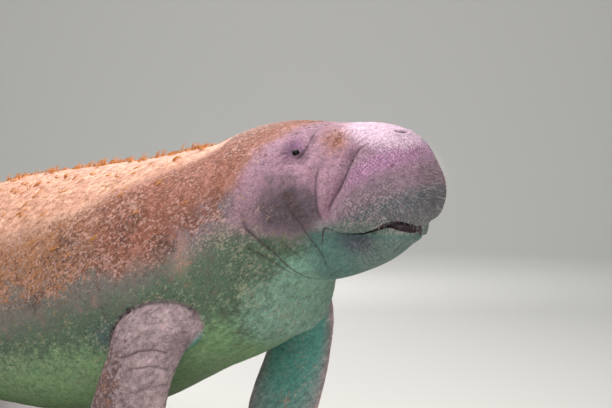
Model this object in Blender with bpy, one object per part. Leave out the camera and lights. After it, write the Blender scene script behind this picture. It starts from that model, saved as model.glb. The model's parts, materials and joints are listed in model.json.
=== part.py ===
"""Manatee, life size, as a still display model held over a flat base by two rods.

The trunk and tail are sections along a curved axis, the head is blended rounded forms with
folds, and both are joined into one surface that is divided into closed bodies.

Frame: +X is forward (the head), +Y is the animal's left, +Z is up.
The origin is the centre of the stand base's underside.
All sizes are in metres and all angles in degrees.
"""

import math

import bmesh
import bpy
import numpy as np
from mathutils import Matrix, Vector

# Main sizes of the animal
BODY_LENGTH = 3.00
JOINT_GAP = 0.0003
BLEND_HEAD_TO_TRUNK = 0.08

# Slope of the body's axis, nose up, by distance behind the snout
AXIS_STATION = (0.00, 0.30, 0.42, 0.56, 0.80, 1.20, 1.80, 2.40, 3.00)
AXIS_SLOPE = (-1.0, 5.0, 24.2, 24.8, 14.2, 11.4, 8.5, 4.0, -4.0)

# Sections of the trunk and tail: distance behind the snout, half width,
# height above and depth below the axis, and the squareness of the section
SECTIONS = (
    (0.16, 0.020, 0.020, 0.020, 2.0),
    (0.22, 0.085, 0.070, 0.090, 2.0),
    (0.30, 0.130, 0.120, 0.170, 2.0),
    (0.42, 0.185, 0.151, 0.286, 2.1),
    (0.56, 0.250, 0.208, 0.302, 2.1),
    (0.72, 0.300, 0.242, 0.316, 2.15),
    (1.00, 0.340, 0.282, 0.376, 2.2),
    (1.35, 0.350, 0.315, 0.352, 2.2),
    (1.70, 0.310, 0.268, 0.284, 2.15),
    (2.00, 0.240, 0.190, 0.200, 2.1),
    (2.20, 0.190, 0.125, 0.130, 2.0),
    (2.35, 0.225, 0.072, 0.074, 2.0),
    (2.55, 0.330, 0.045, 0.045, 1.9),
    (2.72, 0.365, 0.034, 0.034, 1.9),
    (2.82, 0.345, 0.028, 0.028, 1.9),
    (2.90, 0.290, 0.022, 0.022, 1.9),
    (2.96, 0.195, 0.016, 0.016, 2.0),
    (2.99, 0.095, 0.010, 0.010, 2.0),
    (3.00, 0.010, 0.005, 0.005, 2.0),
)
TRUNK_START = 0.18
AXIS_STEPS = 1220

# The head's own frame turns about this point of the body's axis
HEAD_PIVOT = (-0.36, 0.0, 0.0)
HEAD_PITCH = -1.7
HEAD_YAW = 4.1

# Masses of the head in its own frame: centre, radii, pitch, blend, one on each side
HEAD_FORMS = {
    "cranium": ((-0.375, 0.000, 0.024), (0.200, 0.130, 0.124), 0, 0.000, False),
    "bridge": ((-0.220, 0.000, 0.073), (0.190, 0.088, 0.074), -2, 0.050, False),
    "nose": ((-0.125, 0.000, 0.068), (0.097, 0.085, 0.068), -14, 0.050, False),
    "lip_pad": ((-0.118, 0.048, 0.006), (0.104, 0.070, 0.098), -14, 0.035, True),
    "philtrum": ((-0.124, 0.000, 0.002), (0.112, 0.080, 0.093), -14, 0.040, False),
    "front_lip": ((-0.076, 0.018, -0.059), (0.045, 0.042, 0.034), -42, 0.036, True),
    "lip_corner": ((-0.170, 0.074, -0.040), (0.074, 0.042, 0.050), 20, 0.030, True),
    "cheek": ((-0.280, 0.068, -0.030), (0.120, 0.068, 0.100), 0, 0.050, True),
    "jaw": ((-0.228, 0.000, -0.106), (0.150, 0.088, 0.082), 16, 0.030, False),
    "chin": ((-0.118, 0.000, -0.090), (0.084, 0.070, 0.046), 36, 0.030, False),
    "throat": ((-0.380, 0.000, -0.112), (0.200, 0.130, 0.110), 14, 0.060, False),
}
JAW_FORMS = ("cranium", "cheek", "front_lip", "jaw", "chin", "throat")

# Folds drawn on the side of the head: points (x, z), depth and width
HEAD_FOLDS = {
    "behind_lip_pad": (
        ((-0.146, 0.092), (-0.158, 0.066), (-0.173, 0.025), (-0.192, -0.020),
         (-0.207, -0.066)), 0.014, 0.011),
    "cheek_fold": (
        ((-0.232, 0.060), (-0.228, 0.003), (-0.224, -0.045), (-0.212, -0.076)), 0.009, 0.010),
    "jaw_crease": (
        ((-0.294, -0.010), (-0.270, -0.060), (-0.246, -0.112), (-0.230, -0.160)), 0.007, 0.012),
    "before_eye": (((-0.255, 0.112), (-0.250, 0.078), (-0.262, 0.046)), 0.004, 0.010),
}
FOLD_FADE_IN = 0.15
FOLD_FADE_OUT = 0.10

# Folds round the neck, which meet under the throat: points (distance behind the snout, angle
# below level), depth and width. Angles count as arcs of the neck's radius.
NECK_RADIUS = 0.20
NECK_FOLDS = {
    "upper": (
        ((0.400, 2), (0.398, -13), (0.387, -26), (0.362, -38), (0.332, -49), (0.308, -63),
         (0.286, -76), (0.262, -90)), 0.010, 0.013),
    "lower": (
        ((0.425, -20), (0.410, -35), (0.372, -48), (0.344, -62), (0.318, -76), (0.300, -90)),
        0.006, 0.011),
}

# Lips on the side of the head, from the front to the corner of the mouth, and the crease behind
# the chin. The skin is rounded in towards each lip.
UPPER_LIP = ((0.040, -0.088), (-0.024, -0.085), (-0.034, -0.078), (-0.042, -0.064),
             (-0.052, -0.057), (-0.066, -0.056), (-0.082, -0.061), (-0.103, -0.072),
             (-0.139, -0.084), (-0.173, -0.086), (-0.203, -0.075))
LOWER_LIP = ((0.040, -0.089), (-0.024, -0.086), (-0.034, -0.083), (-0.048, -0.080),
             (-0.066, -0.076), (-0.084, -0.071), (-0.103, -0.075), (-0.139, -0.0865),
             (-0.173, -0.087), (-0.203, -0.076))
CHIN_CREASE = ((-0.222, -0.105), (-0.230, -0.135), (-0.226, -0.170), (-0.215, -0.260))
LIP_ROUNDING_DEPTH = 0.008
LIP_ROUNDING_WIDTH = 0.014
LIP_ROUNDING_END = 1.05
LIP_ROUNDING_FADE = 0.20

# Eyes and nostrils, in the head's frame
EYE_PLACE = (-0.278, 0.116, 0.077)
EYE_RADIUS = 0.010
EYE_SET_IN = 0.0045
LID_RADII = (0.020, 0.016, 0.009)
LID_SET_IN = 0.005
NOSTRIL_PLACE = (-0.077, 0.028, 0.126)
NOSTRIL_RADII = (0.014, 0.0032, 0.009)
NOSTRIL_TURN = 58.0
HEAD_CORE_HEIGHT = 0.03

# Flippers: distance from the root, which is sunk in the body, half chord and half thickness;
# then the middle line's points from the root to the tip, and the turn of the chord from +X
FLIPPER_SECTIONS = (
    (0.00, 0.105, 0.075), (0.10, 0.105, 0.066), (0.18, 0.097, 0.055), (0.25, 0.089, 0.045),
    (0.36, 0.094, 0.034), (0.45, 0.097, 0.027), (0.53, 0.083, 0.020), (0.575, 0.054, 0.014),
    (0.595, 0.024, 0.008),
)
FLIPPER_STATIONS = (0.00, 0.15, 0.25, 0.385, 0.60)
FLIPPERS = {
    "flipper_right": (
        (-0.555, -0.120, -0.220), (-0.582, -0.222, -0.312), (-0.598, -0.248, -0.390),
        (-0.643, -0.250, -0.505), (-0.720, -0.235, -0.700)),
    "flipper_left": (
        (-0.515, 0.120, -0.210), (-0.530, 0.220, -0.310), (-0.545, 0.251, -0.395),
        (-0.582, 0.255, -0.515), (-0.668, 0.235, -0.710)),
}
FLIPPER_TURN = 12.0
NAIL_RADII = (0.011, 0.006, 0.013)
NAIL_OFFSETS = (0.032, 0.012, -0.008)
NAIL_MIDDLE = 0.012
NAIL_FROM_TIP = 0.028
NAIL_ROW_CURVE = 0.5
NAIL_SET_IN = 0.85

# Where the trunk is divided, as distances behind the snout
NECK_START = 0.36
TORSO_START = 0.47
TAIL_START = 1.95
PADDLE_START = 2.30

# Fineness of the solids
SEGMENTS = 60
HEAD_RINGS = 26
MUZZLE_RINGS = 17
NECK_RINGS = 8
TORSO_RINGS = 19
TAIL_RINGS = 6
PADDLE_RINGS = 14
FLIPPER_SEGMENTS = 24
FLIPPER_RINGS = 18
FLIPPER_STEP = 0.005
FLIPPER_CUT_SPAN = (0.36, 1.00)
FLIPPER_CUT_RINGS = 30
ROD_SEGMENTS = 24
ROD_CUT_SPAN = 0.15
ROD_CUT_RINGS = 12
PADDLE_END = 2.985
SHARP_ANGLE = 40.0

# The surface is found on rays from the body's axis, which lean with the folds near the snout
RAY_REACH = 0.50
RAY_STEP = 0.010
RAY_HALVINGS = 14
NORMAL_STEP = 0.002
MUZZLE_CENTRE = (0.13, -0.035)
MUZZLE_RAY_SHAPE = (0.105, 0.125)
MUZZLE_RAY_LEAN = 0.50
RAY_LEAN_START = 0.29
RAY_LEAN_FULL = 0.20

# Stand
BASE_LENGTH = 1.50
BASE_WIDTH = 0.80
BASE_THICKNESS = 0.040
BASE_CORNER = 0.060
BASE_EDGE = 0.006
ROD_RADIUS = 0.019
FLANGE_RADIUS = 0.060
FLANGE_THICKNESS = 0.012
FLANGE_EDGE = 0.004
COLLAR_SIZE = 0.014
ROD_STATIONS = {"stand_rod_front": 1.02, "stand_rod_rear": 1.72}
BASE_CENTRE_STATION = 1.32
SNOUT_HEIGHT = 0.84

COLOURS = {
    "head": ((0.42, 0.29, 0.27), 0.6, 0.0),
    "lower_jaw": ((0.30, 0.27, 0.23), 0.6, 0.0),
    "neck": ((0.40, 0.28, 0.23), 0.6, 0.0),
    "torso": ((0.45, 0.33, 0.26), 0.6, 0.0),
    "tail_stock": ((0.38, 0.30, 0.25), 0.6, 0.0),
    "tail_paddle": ((0.33, 0.28, 0.24), 0.6, 0.0),
    "flipper_right": ((0.40, 0.28, 0.25), 0.6, 0.0),
    "flipper_left": ((0.30, 0.24, 0.23), 0.6, 0.0),
    "eye_right": ((0.02, 0.015, 0.015), 0.1, 0.0),
    "eye_left": ((0.02, 0.015, 0.015), 0.1, 0.0),
    "stand_base": ((0.18, 0.11, 0.07), 0.4, 0.0),
    "stand_rod_front": ((0.55, 0.56, 0.57), 0.3, 1.0),
    "stand_rod_rear": ((0.55, 0.56, 0.57), 0.3, 1.0),
}


def curve_through(x, stations, values):
    """Smooth curve through the given values, flat beyond its ends."""
    stations = np.asarray(stations, float)
    values = np.asarray(values, float)
    step = np.diff(stations)
    slope = np.diff(values) / step
    tangent = np.empty_like(values)
    tangent[1:-1] = (slope[:-1] * step[1:] + slope[1:] * step[:-1]) / (step[:-1] + step[1:])
    tangent[0] = slope[0]
    tangent[-1] = slope[-1]
    x = np.clip(x, stations[0], stations[-1])
    i = np.clip(np.searchsorted(stations, x) - 1, 0, len(step) - 1)
    t = (x - stations[i]) / step[i]
    start = (1 + 2 * t) * (1 - t) ** 2 * values[i] + t * (1 - t) ** 2 * step[i] * tangent[i]
    end = t * t * (3 - 2 * t) * values[i + 1] + t * t * (t - 1) * step[i] * tangent[i + 1]
    return start + end


def smooth_min(a, b, width):
    """Smaller of two distances, blended over a width."""
    if width == 0:
        return np.minimum(a, b)
    h = np.maximum(width - np.abs(a - b), 0) / width
    return np.minimum(a, b) - h ** 3 * width / 6


def trace_axis():
    """Points and slopes of the body's axis, by distance behind the snout."""
    station = np.linspace(0, BODY_LENGTH, AXIS_STEPS + 1)
    slope = np.radians(curve_through(station, AXIS_STATION, AXIS_SLOPE))
    step = station[1] - station[0]
    back = (np.cos(slope[1:]) + np.cos(slope[:-1])) / 2 * step
    down = (np.sin(slope[1:]) + np.sin(slope[:-1])) / 2 * step
    x = -np.concatenate([[0], np.cumsum(back)])
    z = -np.concatenate([[0], np.cumsum(down)])
    return station, x, z, slope


AXIS = trace_axis()


def axis_at(station):
    """Place and slope of the body's axis at a distance behind the snout."""
    return tuple(np.interp(station, AXIS[0], column) for column in AXIS[1:])


def section_at(station):
    """Half width, height, depth and squareness of the trunk at a station."""
    columns = list(zip(*SECTIONS))
    return [curve_through(station, columns[0], column) for column in columns[1:]]


def along_axis(p):
    """Station of each point, its height over the axis and its distance along it from there."""
    s = np.clip(-p[..., 0], 0, BODY_LENGTH)
    for _ in range(4):
        x, z, slope = axis_at(s)
        s = s - ((p[..., 0] - x) * np.cos(slope) + (p[..., 2] - z) * np.sin(slope))
        s = np.clip(s, 0, BODY_LENGTH)
    x, z, slope = axis_at(s)
    ahead = (p[..., 0] - x) * np.cos(slope) + (p[..., 2] - z) * np.sin(slope)
    height = -(p[..., 0] - x) * np.sin(slope) + (p[..., 2] - z) * np.cos(slope)
    return s, height, ahead


def to_segments(px, pz, points):
    """Distance of points in a plane from a line of segments, and the share of its length there."""
    points = np.asarray(points, float)
    lengths = np.hypot(*np.diff(points, axis=0).T)
    run = np.concatenate([[0], np.cumsum(lengths)]) / lengths.sum()
    best = np.full(px.shape, 9.0)
    share = np.zeros(px.shape)
    for i in range(len(points) - 1):
        a = points[i]
        ab = points[i + 1] - a
        t = np.clip(((px - a[0]) * ab[0] + (pz - a[1]) * ab[1]) / (ab @ ab), 0, 1)
        d = np.hypot(px - a[0] - t * ab[0], pz - a[1] - t * ab[1])
        nearer = d < best
        best = np.where(nearer, d, best)
        share = np.where(nearer, run[i] + t * (run[i + 1] - run[i]), share)
    return best, share


def fold(distance, share, depth, width):
    """Depth of a fold that fades in and out along its line."""
    fade = np.clip(share / FOLD_FADE_IN, 0, 1) * np.clip((1 - share) / FOLD_FADE_OUT, 0, 1)
    return depth * fade * np.exp(-(distance / width) ** 2)


def trunk_field(p):
    """Signed distance from the trunk and tail, about right near the surface."""
    s, height, ahead = along_axis(p)
    half_width, top, bottom, power = section_at(s)
    side = np.abs(p[..., 1])
    reach = np.where(height > 0, top, bottom)
    q = ((side / half_width) ** power + (np.abs(height) / reach) ** power) ** (1 / power)
    r = np.hypot(side, height)
    field = np.where(r < 1e-6, -np.minimum(half_width, reach), r * (1 - 1 / np.maximum(q, 1e-6)))
    field = field + np.abs(ahead) + 2 * np.maximum(TRUNK_START - s, 0)
    around = np.arctan2(height, side) * NECK_RADIUS
    for points, depth, width in NECK_FOLDS.values():
        line = [(station, math.radians(angle) * NECK_RADIUS) for station, angle in points]
        distance, share = to_segments(s, around, line)
        field = field + fold(distance, np.minimum(share, 0.5), depth, width)
    return field


def head_axes():
    """Forward, left and up of the head's frame."""
    yaw = math.radians(HEAD_YAW)
    pitch = math.radians(HEAD_PITCH)
    forward = np.array([math.cos(yaw) * math.cos(pitch), math.sin(yaw) * math.cos(pitch), math.sin(pitch)])
    left = np.array([-math.sin(yaw), math.cos(yaw), 0.0])
    return forward, left, np.cross(forward, left)


def to_head(p):
    """Points of the body's frame in the head's frame."""
    offset = p - np.array(HEAD_PIVOT)
    return np.stack([offset @ a for a in head_axes()], -1) + np.array(HEAD_PIVOT)


def from_head(q):
    """Points of the head's frame in the body's frame."""
    offset = np.asarray(q, float) - np.array(HEAD_PIVOT)
    forward, left, up = head_axes()
    turned = offset[..., :1] * forward + offset[..., 1:2] * left + offset[..., 2:] * up
    return turned + np.array(HEAD_PIVOT)


def ellipsoid_field(q, centre, radii, pitch):
    """Signed distance from an ellipsoid pitched nose up, about right near it."""
    a = math.radians(pitch)
    offset = q - np.array(centre)
    turned = np.stack([
        offset[..., 0] * math.cos(a) + offset[..., 2] * math.sin(a),
        offset[..., 1],
        -offset[..., 0] * math.sin(a) + offset[..., 2] * math.cos(a),
    ], -1)
    r = np.array(radii)
    k0 = np.sqrt(((turned / r) ** 2).sum(-1))
    k1 = np.sqrt(((turned / r ** 2) ** 2).sum(-1))
    return np.where(k1 > 1e-9, k0 * (k0 - 1) / np.maximum(k1, 1e-9), -r.min())


def head_field(q, forms):
    """Signed distance from the head's named forms, with their folds and rounded lips."""
    mirrored = q.copy()
    mirrored[..., 1] = np.abs(mirrored[..., 1])
    field = None
    for name in forms:
        centre, radii, pitch, blend, paired = HEAD_FORMS[name]
        form = ellipsoid_field(mirrored if paired else q, centre, radii, pitch)
        field = form if field is None else smooth_min(field, form, blend)
    for points, depth, width in HEAD_FOLDS.values():
        distance, share = to_segments(q[..., 0], q[..., 2], points)
        field = field + fold(distance, share, depth, width)
    distance, share = to_segments(q[..., 0], q[..., 2], LOWER_LIP if forms == JAW_FORMS else UPPER_LIP)
    lips = np.exp(-(distance / LIP_ROUNDING_WIDTH) ** 2) 
    fade = np.clip((LIP_ROUNDING_END - share) / LIP_ROUNDING_FADE, 0, 1)
    return field + LIP_ROUNDING_DEPTH * lips * fade


def body_field(p, forms=tuple(HEAD_FORMS)):
    """Signed distance from the whole body without its flippers."""
    return smooth_min(trunk_field(p), head_field(to_head(p), forms), BLEND_HEAD_TO_TRUNK)


def surface_points(centres, directions, offset=0.0, forms=tuple(HEAD_FORMS)):
    """Outermost place where each ray leaves the body, or its surface moved out by an offset."""
    near = np.zeros(len(centres))
    far = np.full(len(centres), RAY_REACH)
    found = np.zeros(len(centres), bool)
    for r in np.arange(RAY_REACH, 0, -RAY_STEP):
        todo = np.flatnonzero(~found)
        inside = body_field(centres[todo] + directions[todo] * r, forms) < offset
        near[todo[inside]] = r
        found[todo[inside]] = True
        far[todo[~inside]] = r
    for _ in range(RAY_HALVINGS):
        middle = (near + far) / 2
        inside = body_field(centres + directions * middle[:, None], forms) < offset
        near = np.where(inside, middle, near)
        far = np.where(inside, far, middle)
    return centres + directions * ((near + far) / 2)[:, None]


def ring_rays(station):
    """Rays round the axis at a station, which lean with the muzzle's folds near the snout."""
    angle = np.linspace(0, 2 * math.pi, SEGMENTS, endpoint=False)
    x, z, slope = axis_at(station)
    half_width, top, bottom, _ = section_at(station)
    share = np.clip((TORSO_START - station) / (TORSO_START - MUZZLE_CENTRE[0]), 0, 1)
    share = share * share * (3 - 2 * share)
    wide = half_width * (1 - share) + MUZZLE_RAY_SHAPE[0] * share
    tall = (top + bottom) / 2 * (1 - share) + MUZZLE_RAY_SHAPE[1] * share
    across = np.cos(angle) * wide
    up = np.sin(angle) * tall
    lean = np.clip((RAY_LEAN_START - station) / (RAY_LEAN_START - RAY_LEAN_FULL), 0, 1)
    lean = MUZZLE_RAY_LEAN * lean * lean * (3 - 2 * lean)
    ahead = lean * np.maximum(up, 0)
    d = np.stack([math.cos(slope) * ahead - math.sin(slope) * up, across,
                  math.sin(slope) * ahead + math.cos(slope) * up], -1)
    drop = share * MUZZLE_CENTRE[1]
    centre = [x - math.sin(slope) * drop, 0, z + math.cos(slope) * drop]
    return np.tile(centre, (SEGMENTS, 1)), d / np.linalg.norm(d, axis=1)[:, None]


def muzzle_rays(turn):
    """Rays from the muzzle's middle, turned forward from square to the axis."""
    centres, d = ring_rays(MUZZLE_CENTRE[0])
    x, z, slope = axis_at(MUZZLE_CENTRE[0])
    forward = np.array([math.cos(slope), 0, math.sin(slope)])
    d = d * math.cos(turn) + forward * math.sin(turn)
    return centres, d / np.linalg.norm(d, axis=1)[:, None]


def loft(stations, offset=0.0, muzzle_rings=0, forms=tuple(HEAD_FORMS)):
    """Rings of surface points at the stations, then over the muzzle if it is asked for."""
    rays = [ring_rays(s) for s in stations]
    rays += [muzzle_rays(math.pi / 2 * i / muzzle_rings) for i in range(muzzle_rings)]
    centres = np.concatenate([r[0] for r in rays])
    directions = np.concatenate([r[1] for r in rays])
    return surface_points(centres, directions, offset, forms).reshape(-1, SEGMENTS, 3)


def head_mesh(name, forms):
    """Closed mesh of the head's named forms, from the neck's face to the tip of the snout."""
    start = NECK_START - JOINT_GAP / 2
    stations = np.linspace(start, MUZZLE_CENTRE[0], HEAD_RINGS, endpoint=False)
    rings = loft(stations, 0.0, MUZZLE_RINGS, forms)
    centres, directions = muzzle_rays(math.pi / 2)
    tip = surface_points(centres[:1], directions[:1], 0.0, forms)[0]
    return ring_mesh(name, rings, tip)


def new_object(name, mesh):
    """Object with its node's name and its own material."""
    obj = bpy.data.objects.new(name, mesh)
    bpy.context.scene.collection.objects.link(obj)
    if name in COLOURS:
        colour, roughness, metallic = COLOURS[name]
        material = bpy.data.materials.new(name)
        material.use_nodes = True
        shader = material.node_tree.nodes["Principled BSDF"]
        shader.inputs["Base Color"].default_value = (*colour, 1)
        shader.inputs["Roughness"].default_value = roughness
        shader.inputs["Metallic"].default_value = metallic
        mesh.materials.append(material)
    return obj


def ring_mesh(name, rings, tip=None):
    """Closed mesh over rings: a flat end at the first, a tip or a flat end at the last."""
    bm = bmesh.new()
    rows = [[bm.verts.new(p) for p in ring] for ring in rings]
    count = len(rows[0])
    for low, high in zip(rows, rows[1:]):
        for i in range(count):
            j = (i + 1) % count
            bm.faces.new((low[i], low[j], high[j], high[i]))
    bm.faces.new(rows[0])
    if tip is None:
        bm.faces.new(rows[-1])
    else:
        point = bm.verts.new(tip)
        for i in range(count):
            bm.faces.new((rows[-1][i], rows[-1][(i + 1) % count], point))
    bmesh.ops.recalc_face_normals(bm, faces=bm.faces)
    mesh = bpy.data.meshes.new(name)
    bm.to_mesh(mesh)
    bm.free()
    return mesh


def keep_largest(mesh):
    """Leaves the largest closed surface of a mesh."""
    bm = bmesh.new()
    bm.from_mesh(mesh)
    todo = set(bm.faces)
    shells = []
    while todo:
        stack = [todo.pop()]
        shell = list(stack)
        while stack:
            for edge in stack.pop().edges:
                for face in edge.link_faces:
                    if face in todo:
                        todo.remove(face)
                        stack.append(face)
                        shell.append(face)
        shells.append(shell)
    shells.sort(key=len)
    for shell in shells[:-1]:
        bmesh.ops.delete(bm, geom=shell, context="FACES")
    bm.to_mesh(mesh)
    bm.free()


def combine(target, others, operation):
    """Joins or cuts an object with others by one Boolean, applied, and removes the others."""
    group = bpy.data.collections.new("pieces")
    for other in others:
        group.objects.link(other)
    modifier = target.modifiers.new(operation.lower(), "BOOLEAN")
    modifier.operation = operation
    modifier.solver = "EXACT"
    modifier.operand_type = "COLLECTION"
    modifier.collection = group
    bpy.context.view_layer.update()
    evaluated = target.evaluated_get(bpy.context.evaluated_depsgraph_get())
    result = bpy.data.meshes.new_from_object(evaluated)
    target.modifiers.clear()
    old = target.data
    target.data = result
    result.name = old.name
    bpy.data.meshes.remove(old)
    for other in list(group.objects):
        bpy.data.objects.remove(other)
    bpy.data.collections.remove(group)
    keep_largest(target.data)


def surface_normal(p):
    """Outward direction of the body's surface near a point."""
    steps = np.eye(3) * NORMAL_STEP
    gradient = [body_field(p + s) - body_field(p - s) for s in steps]
    return Vector([float(g) for g in gradient]).normalized()


def skin_point(place, side, inner):
    """Point of the skin over a place of the head's frame, seen from an inner point, and its normal."""
    target = from_head((place[0], side * place[1], place[2]))
    start = from_head(inner)
    ray = target - start
    point = surface_points(start[None], (ray / np.linalg.norm(ray))[None])[0]
    return Vector(point), surface_normal(point)


def ellipsoid(name, radii, matrix, segments=16, rings=10):
    """Ellipsoid of the given radii placed by a matrix."""
    bm = bmesh.new()
    bmesh.ops.create_uvsphere(bm, u_segments=segments, v_segments=rings, radius=1)
    bmesh.ops.transform(bm, matrix=matrix @ Matrix.Diagonal((*radii, 1)), verts=bm.verts)
    mesh = bpy.data.meshes.new(name)
    bm.to_mesh(mesh)
    bm.free()
    return new_object(name, mesh)


def frame_at(point, up, forward):
    """Matrix at a point with Z along up and X as near forward as it can be."""
    z = up.normalized()
    y = z.cross(forward).normalized()
    x = y.cross(z)
    matrix = Matrix((x, y, z)).transposed().to_4x4()
    matrix.translation = point
    return matrix


def prism(name, outline, half_width=0.3):
    """Solid with a side outline (x, z) of the head's frame, drawn right across it."""
    sides = [from_head([(x, y, z) for x, z in outline]) for y in (-half_width, half_width)]
    return new_object(name, ring_mesh(name, sides))


def mouth_outline(lip, gap, points_per_span=3):
    """Side outline of all that lies under a lip and before the chin's crease, moved out by a gap."""
    points = np.array(lip + CHIN_CREASE)
    t = np.linspace(0, len(points) - 1, (len(points) - 1) * points_per_span + 1)
    line = np.stack([curve_through(t, np.arange(len(points)), points[:, i]) for i in (0, 1)], -1)
    tangent = np.gradient(line, axis=0)
    normal = np.stack([tangent[:, 1], -tangent[:, 0]], -1)
    line = line + gap * normal / np.linalg.norm(normal, axis=1)[:, None]
    return list(line) + [(0.15, line[-1][1]), (0.15, line[0][1])]


def build_head():
    """Head and lower jaw, parted along the mouth, with lids, eyes and nostrils."""
    head = new_object("head", head_mesh("head", tuple(HEAD_FORMS)))
    jaw = new_object("lower_jaw", head_mesh("lower_jaw", JAW_FORMS))
    combine(jaw, [prism("jaw_block", mouth_outline(LOWER_LIP, 0.0))], "INTERSECT")
    lids = []
    cuts = [prism("mouth_cut", mouth_outline(UPPER_LIP, JOINT_GAP))]
    forward = Vector(head_axes()[0])
    for side, name in ((-1, "eye_right"), (1, "eye_left")):
        point, out = skin_point(EYE_PLACE, side, (EYE_PLACE[0], 0, HEAD_CORE_HEIGHT))
        lids.append(ellipsoid("lid", LID_RADII, frame_at(point - out * LID_SET_IN, out, forward)))
        centre = point - out * EYE_SET_IN
        socket = EYE_RADIUS + JOINT_GAP
        cuts.append(ellipsoid("socket", (socket,) * 3, frame_at(centre, out, forward)))
        ellipsoid(name, (EYE_RADIUS,) * 3, frame_at(centre, out, forward))
        point, out = skin_point(NOSTRIL_PLACE, side, (NOSTRIL_PLACE[0] - 0.01, 0, HEAD_CORE_HEIGHT))
        turned = Matrix.Rotation(math.radians(-side * NOSTRIL_TURN), 3, "Z") @ forward
        cuts.append(ellipsoid("nostril", NOSTRIL_RADII, frame_at(point, out, turned), 16, 8))
    combine(head, lids, "UNION")
    combine(head, cuts, "DIFFERENCE")


def build_trunk():
    """Neck, torso and the two lengths of the tail, with flat ends that face each other."""
    half = JOINT_GAP / 2
    spans = (
        ("neck", NECK_START, TORSO_START, NECK_RINGS),
        ("torso", TORSO_START, TAIL_START, TORSO_RINGS),
        ("tail_stock", TAIL_START, PADDLE_START, TAIL_RINGS),
    )
    for name, start, end, count in spans:
        stations = np.linspace(end - half, start + half, count)
        new_object(name, ring_mesh(name, loft(stations)))
    share = np.linspace(0, 1, PADDLE_RINGS)
    stations = PADDLE_START + half + (PADDLE_END - PADDLE_START) * np.sin(share * math.pi / 2)
    x, z, _ = axis_at(BODY_LENGTH)
    new_object("tail_paddle", ring_mesh("tail_paddle", loft(stations), (x, 0, z)))


def body_cutter(name, start, end, count):
    """Length of the body grown by the joint's gap, to cut what rests against it."""
    stations = np.linspace(end, start, count)
    return new_object(name, ring_mesh(name, loft(stations, JOINT_GAP)))


def flipper_frame(name, distance):
    """Middle, direction, chord direction and face normal of a flipper at a distance from its root."""
    columns = list(zip(*FLIPPERS[name]))
    before, here, after = (
        Vector([float(curve_through(distance + step, FLIPPER_STATIONS, c)) for c in columns])
        for step in (-FLIPPER_STEP, 0, FLIPPER_STEP))
    direction = (after - before).normalized()
    turn = math.radians(FLIPPER_TURN)
    face = direction.cross(Vector((math.cos(turn), math.sin(turn), 0))).normalized()
    return here, direction, face.cross(direction).normalized(), face


def build_flipper(name):
    """One flipper with its nails, cut to the body's side."""
    stations, widths, thicknesses = zip(*FLIPPER_SECTIONS)
    angle = np.linspace(0, 2 * math.pi, FLIPPER_SEGMENTS, endpoint=False)
    rings = []
    for share in np.linspace(0, 1, FLIPPER_RINGS):
        distance = stations[-1] * math.sin(share * math.pi / 2)
        wide = float(curve_through(distance, stations, widths))
        thick = float(curve_through(distance, stations, thicknesses))
        centre, direction, chord, face = flipper_frame(name, distance)
        rings.append([centre + chord * math.cos(a) * wide + face * math.sin(a) * thick for a in angle])
    flipper = new_object(name, ring_mesh(name, rings, centre + direction * FLIPPER_STEP))
    nails = []
    for offset in NAIL_OFFSETS:
        distance = stations[-1] - NAIL_FROM_TIP - abs(offset - NAIL_MIDDLE) * NAIL_ROW_CURVE
        thick = float(curve_through(distance, stations, thicknesses))
        centre, direction, chord, face = flipper_frame(name, distance)
        outward = face if face.y * centre.y > 0 else -face
        place = centre + chord * offset + outward * thick * NAIL_SET_IN
        nails.append(ellipsoid("nail", NAIL_RADII, frame_at(place, -direction, chord), 10, 6))
    combine(flipper, nails, "UNION")
    combine(flipper, [body_cutter("side_cut", *FLIPPER_CUT_SPAN, FLIPPER_CUT_RINGS)], "DIFFERENCE")


def build_base():
    """Flat base with rounded corners and softened edges."""
    bm = bmesh.new()
    bmesh.ops.create_cube(bm, size=1)
    size = Matrix.Diagonal((BASE_LENGTH, BASE_WIDTH, BASE_THICKNESS, 1))
    bmesh.ops.transform(bm, matrix=size, verts=bm.verts)
    bmesh.ops.translate(bm, vec=(0, 0, BASE_THICKNESS / 2), verts=bm.verts)
    upright = [e for e in bm.edges if abs(e.verts[0].co.z - e.verts[1].co.z) > BASE_THICKNESS / 2]
    bmesh.ops.bevel(bm, geom=upright, offset=BASE_CORNER, segments=6, affect="EDGES", profile=0.5)
    top = [e for e in bm.edges if min(v.co.z for v in e.verts) > BASE_THICKNESS - BASE_EDGE]
    bmesh.ops.bevel(bm, geom=top, offset=BASE_EDGE, segments=2, affect="EDGES", profile=0.5)
    mesh = bpy.data.meshes.new("stand_base")
    bm.to_mesh(mesh)
    bm.free()
    new_object("stand_base", mesh)


def build_rod(name, snout):
    """Upright rod with a foot flange, its top cut to the belly."""
    station = ROD_STATIONS[name]
    x, z, _ = axis_at(station)
    foot = BASE_THICKNESS + JOINT_GAP
    plate = foot + FLANGE_THICKNESS
    profile = (
        (FLANGE_RADIUS, foot), (FLANGE_RADIUS, plate - FLANGE_EDGE),
        (FLANGE_RADIUS - FLANGE_EDGE, plate), (ROD_RADIUS + COLLAR_SIZE / 2, plate),
        (ROD_RADIUS, plate + COLLAR_SIZE), (ROD_RADIUS, snout.z + z - ROD_CUT_SPAN),
    )
    angle = np.linspace(0, 2 * math.pi, ROD_SEGMENTS, endpoint=False)
    middle = snout.x + x
    rings = [[(middle + r * math.cos(a), r * math.sin(a), height) for a in angle] for r, height in profile]
    rod = new_object(name, ring_mesh(name, rings))
    cutter = body_cutter("belly_cut", station - ROD_CUT_SPAN, station + ROD_CUT_SPAN, ROD_CUT_RINGS)
    cutter.location = snout
    combine(rod, [cutter], "DIFFERENCE")


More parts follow.
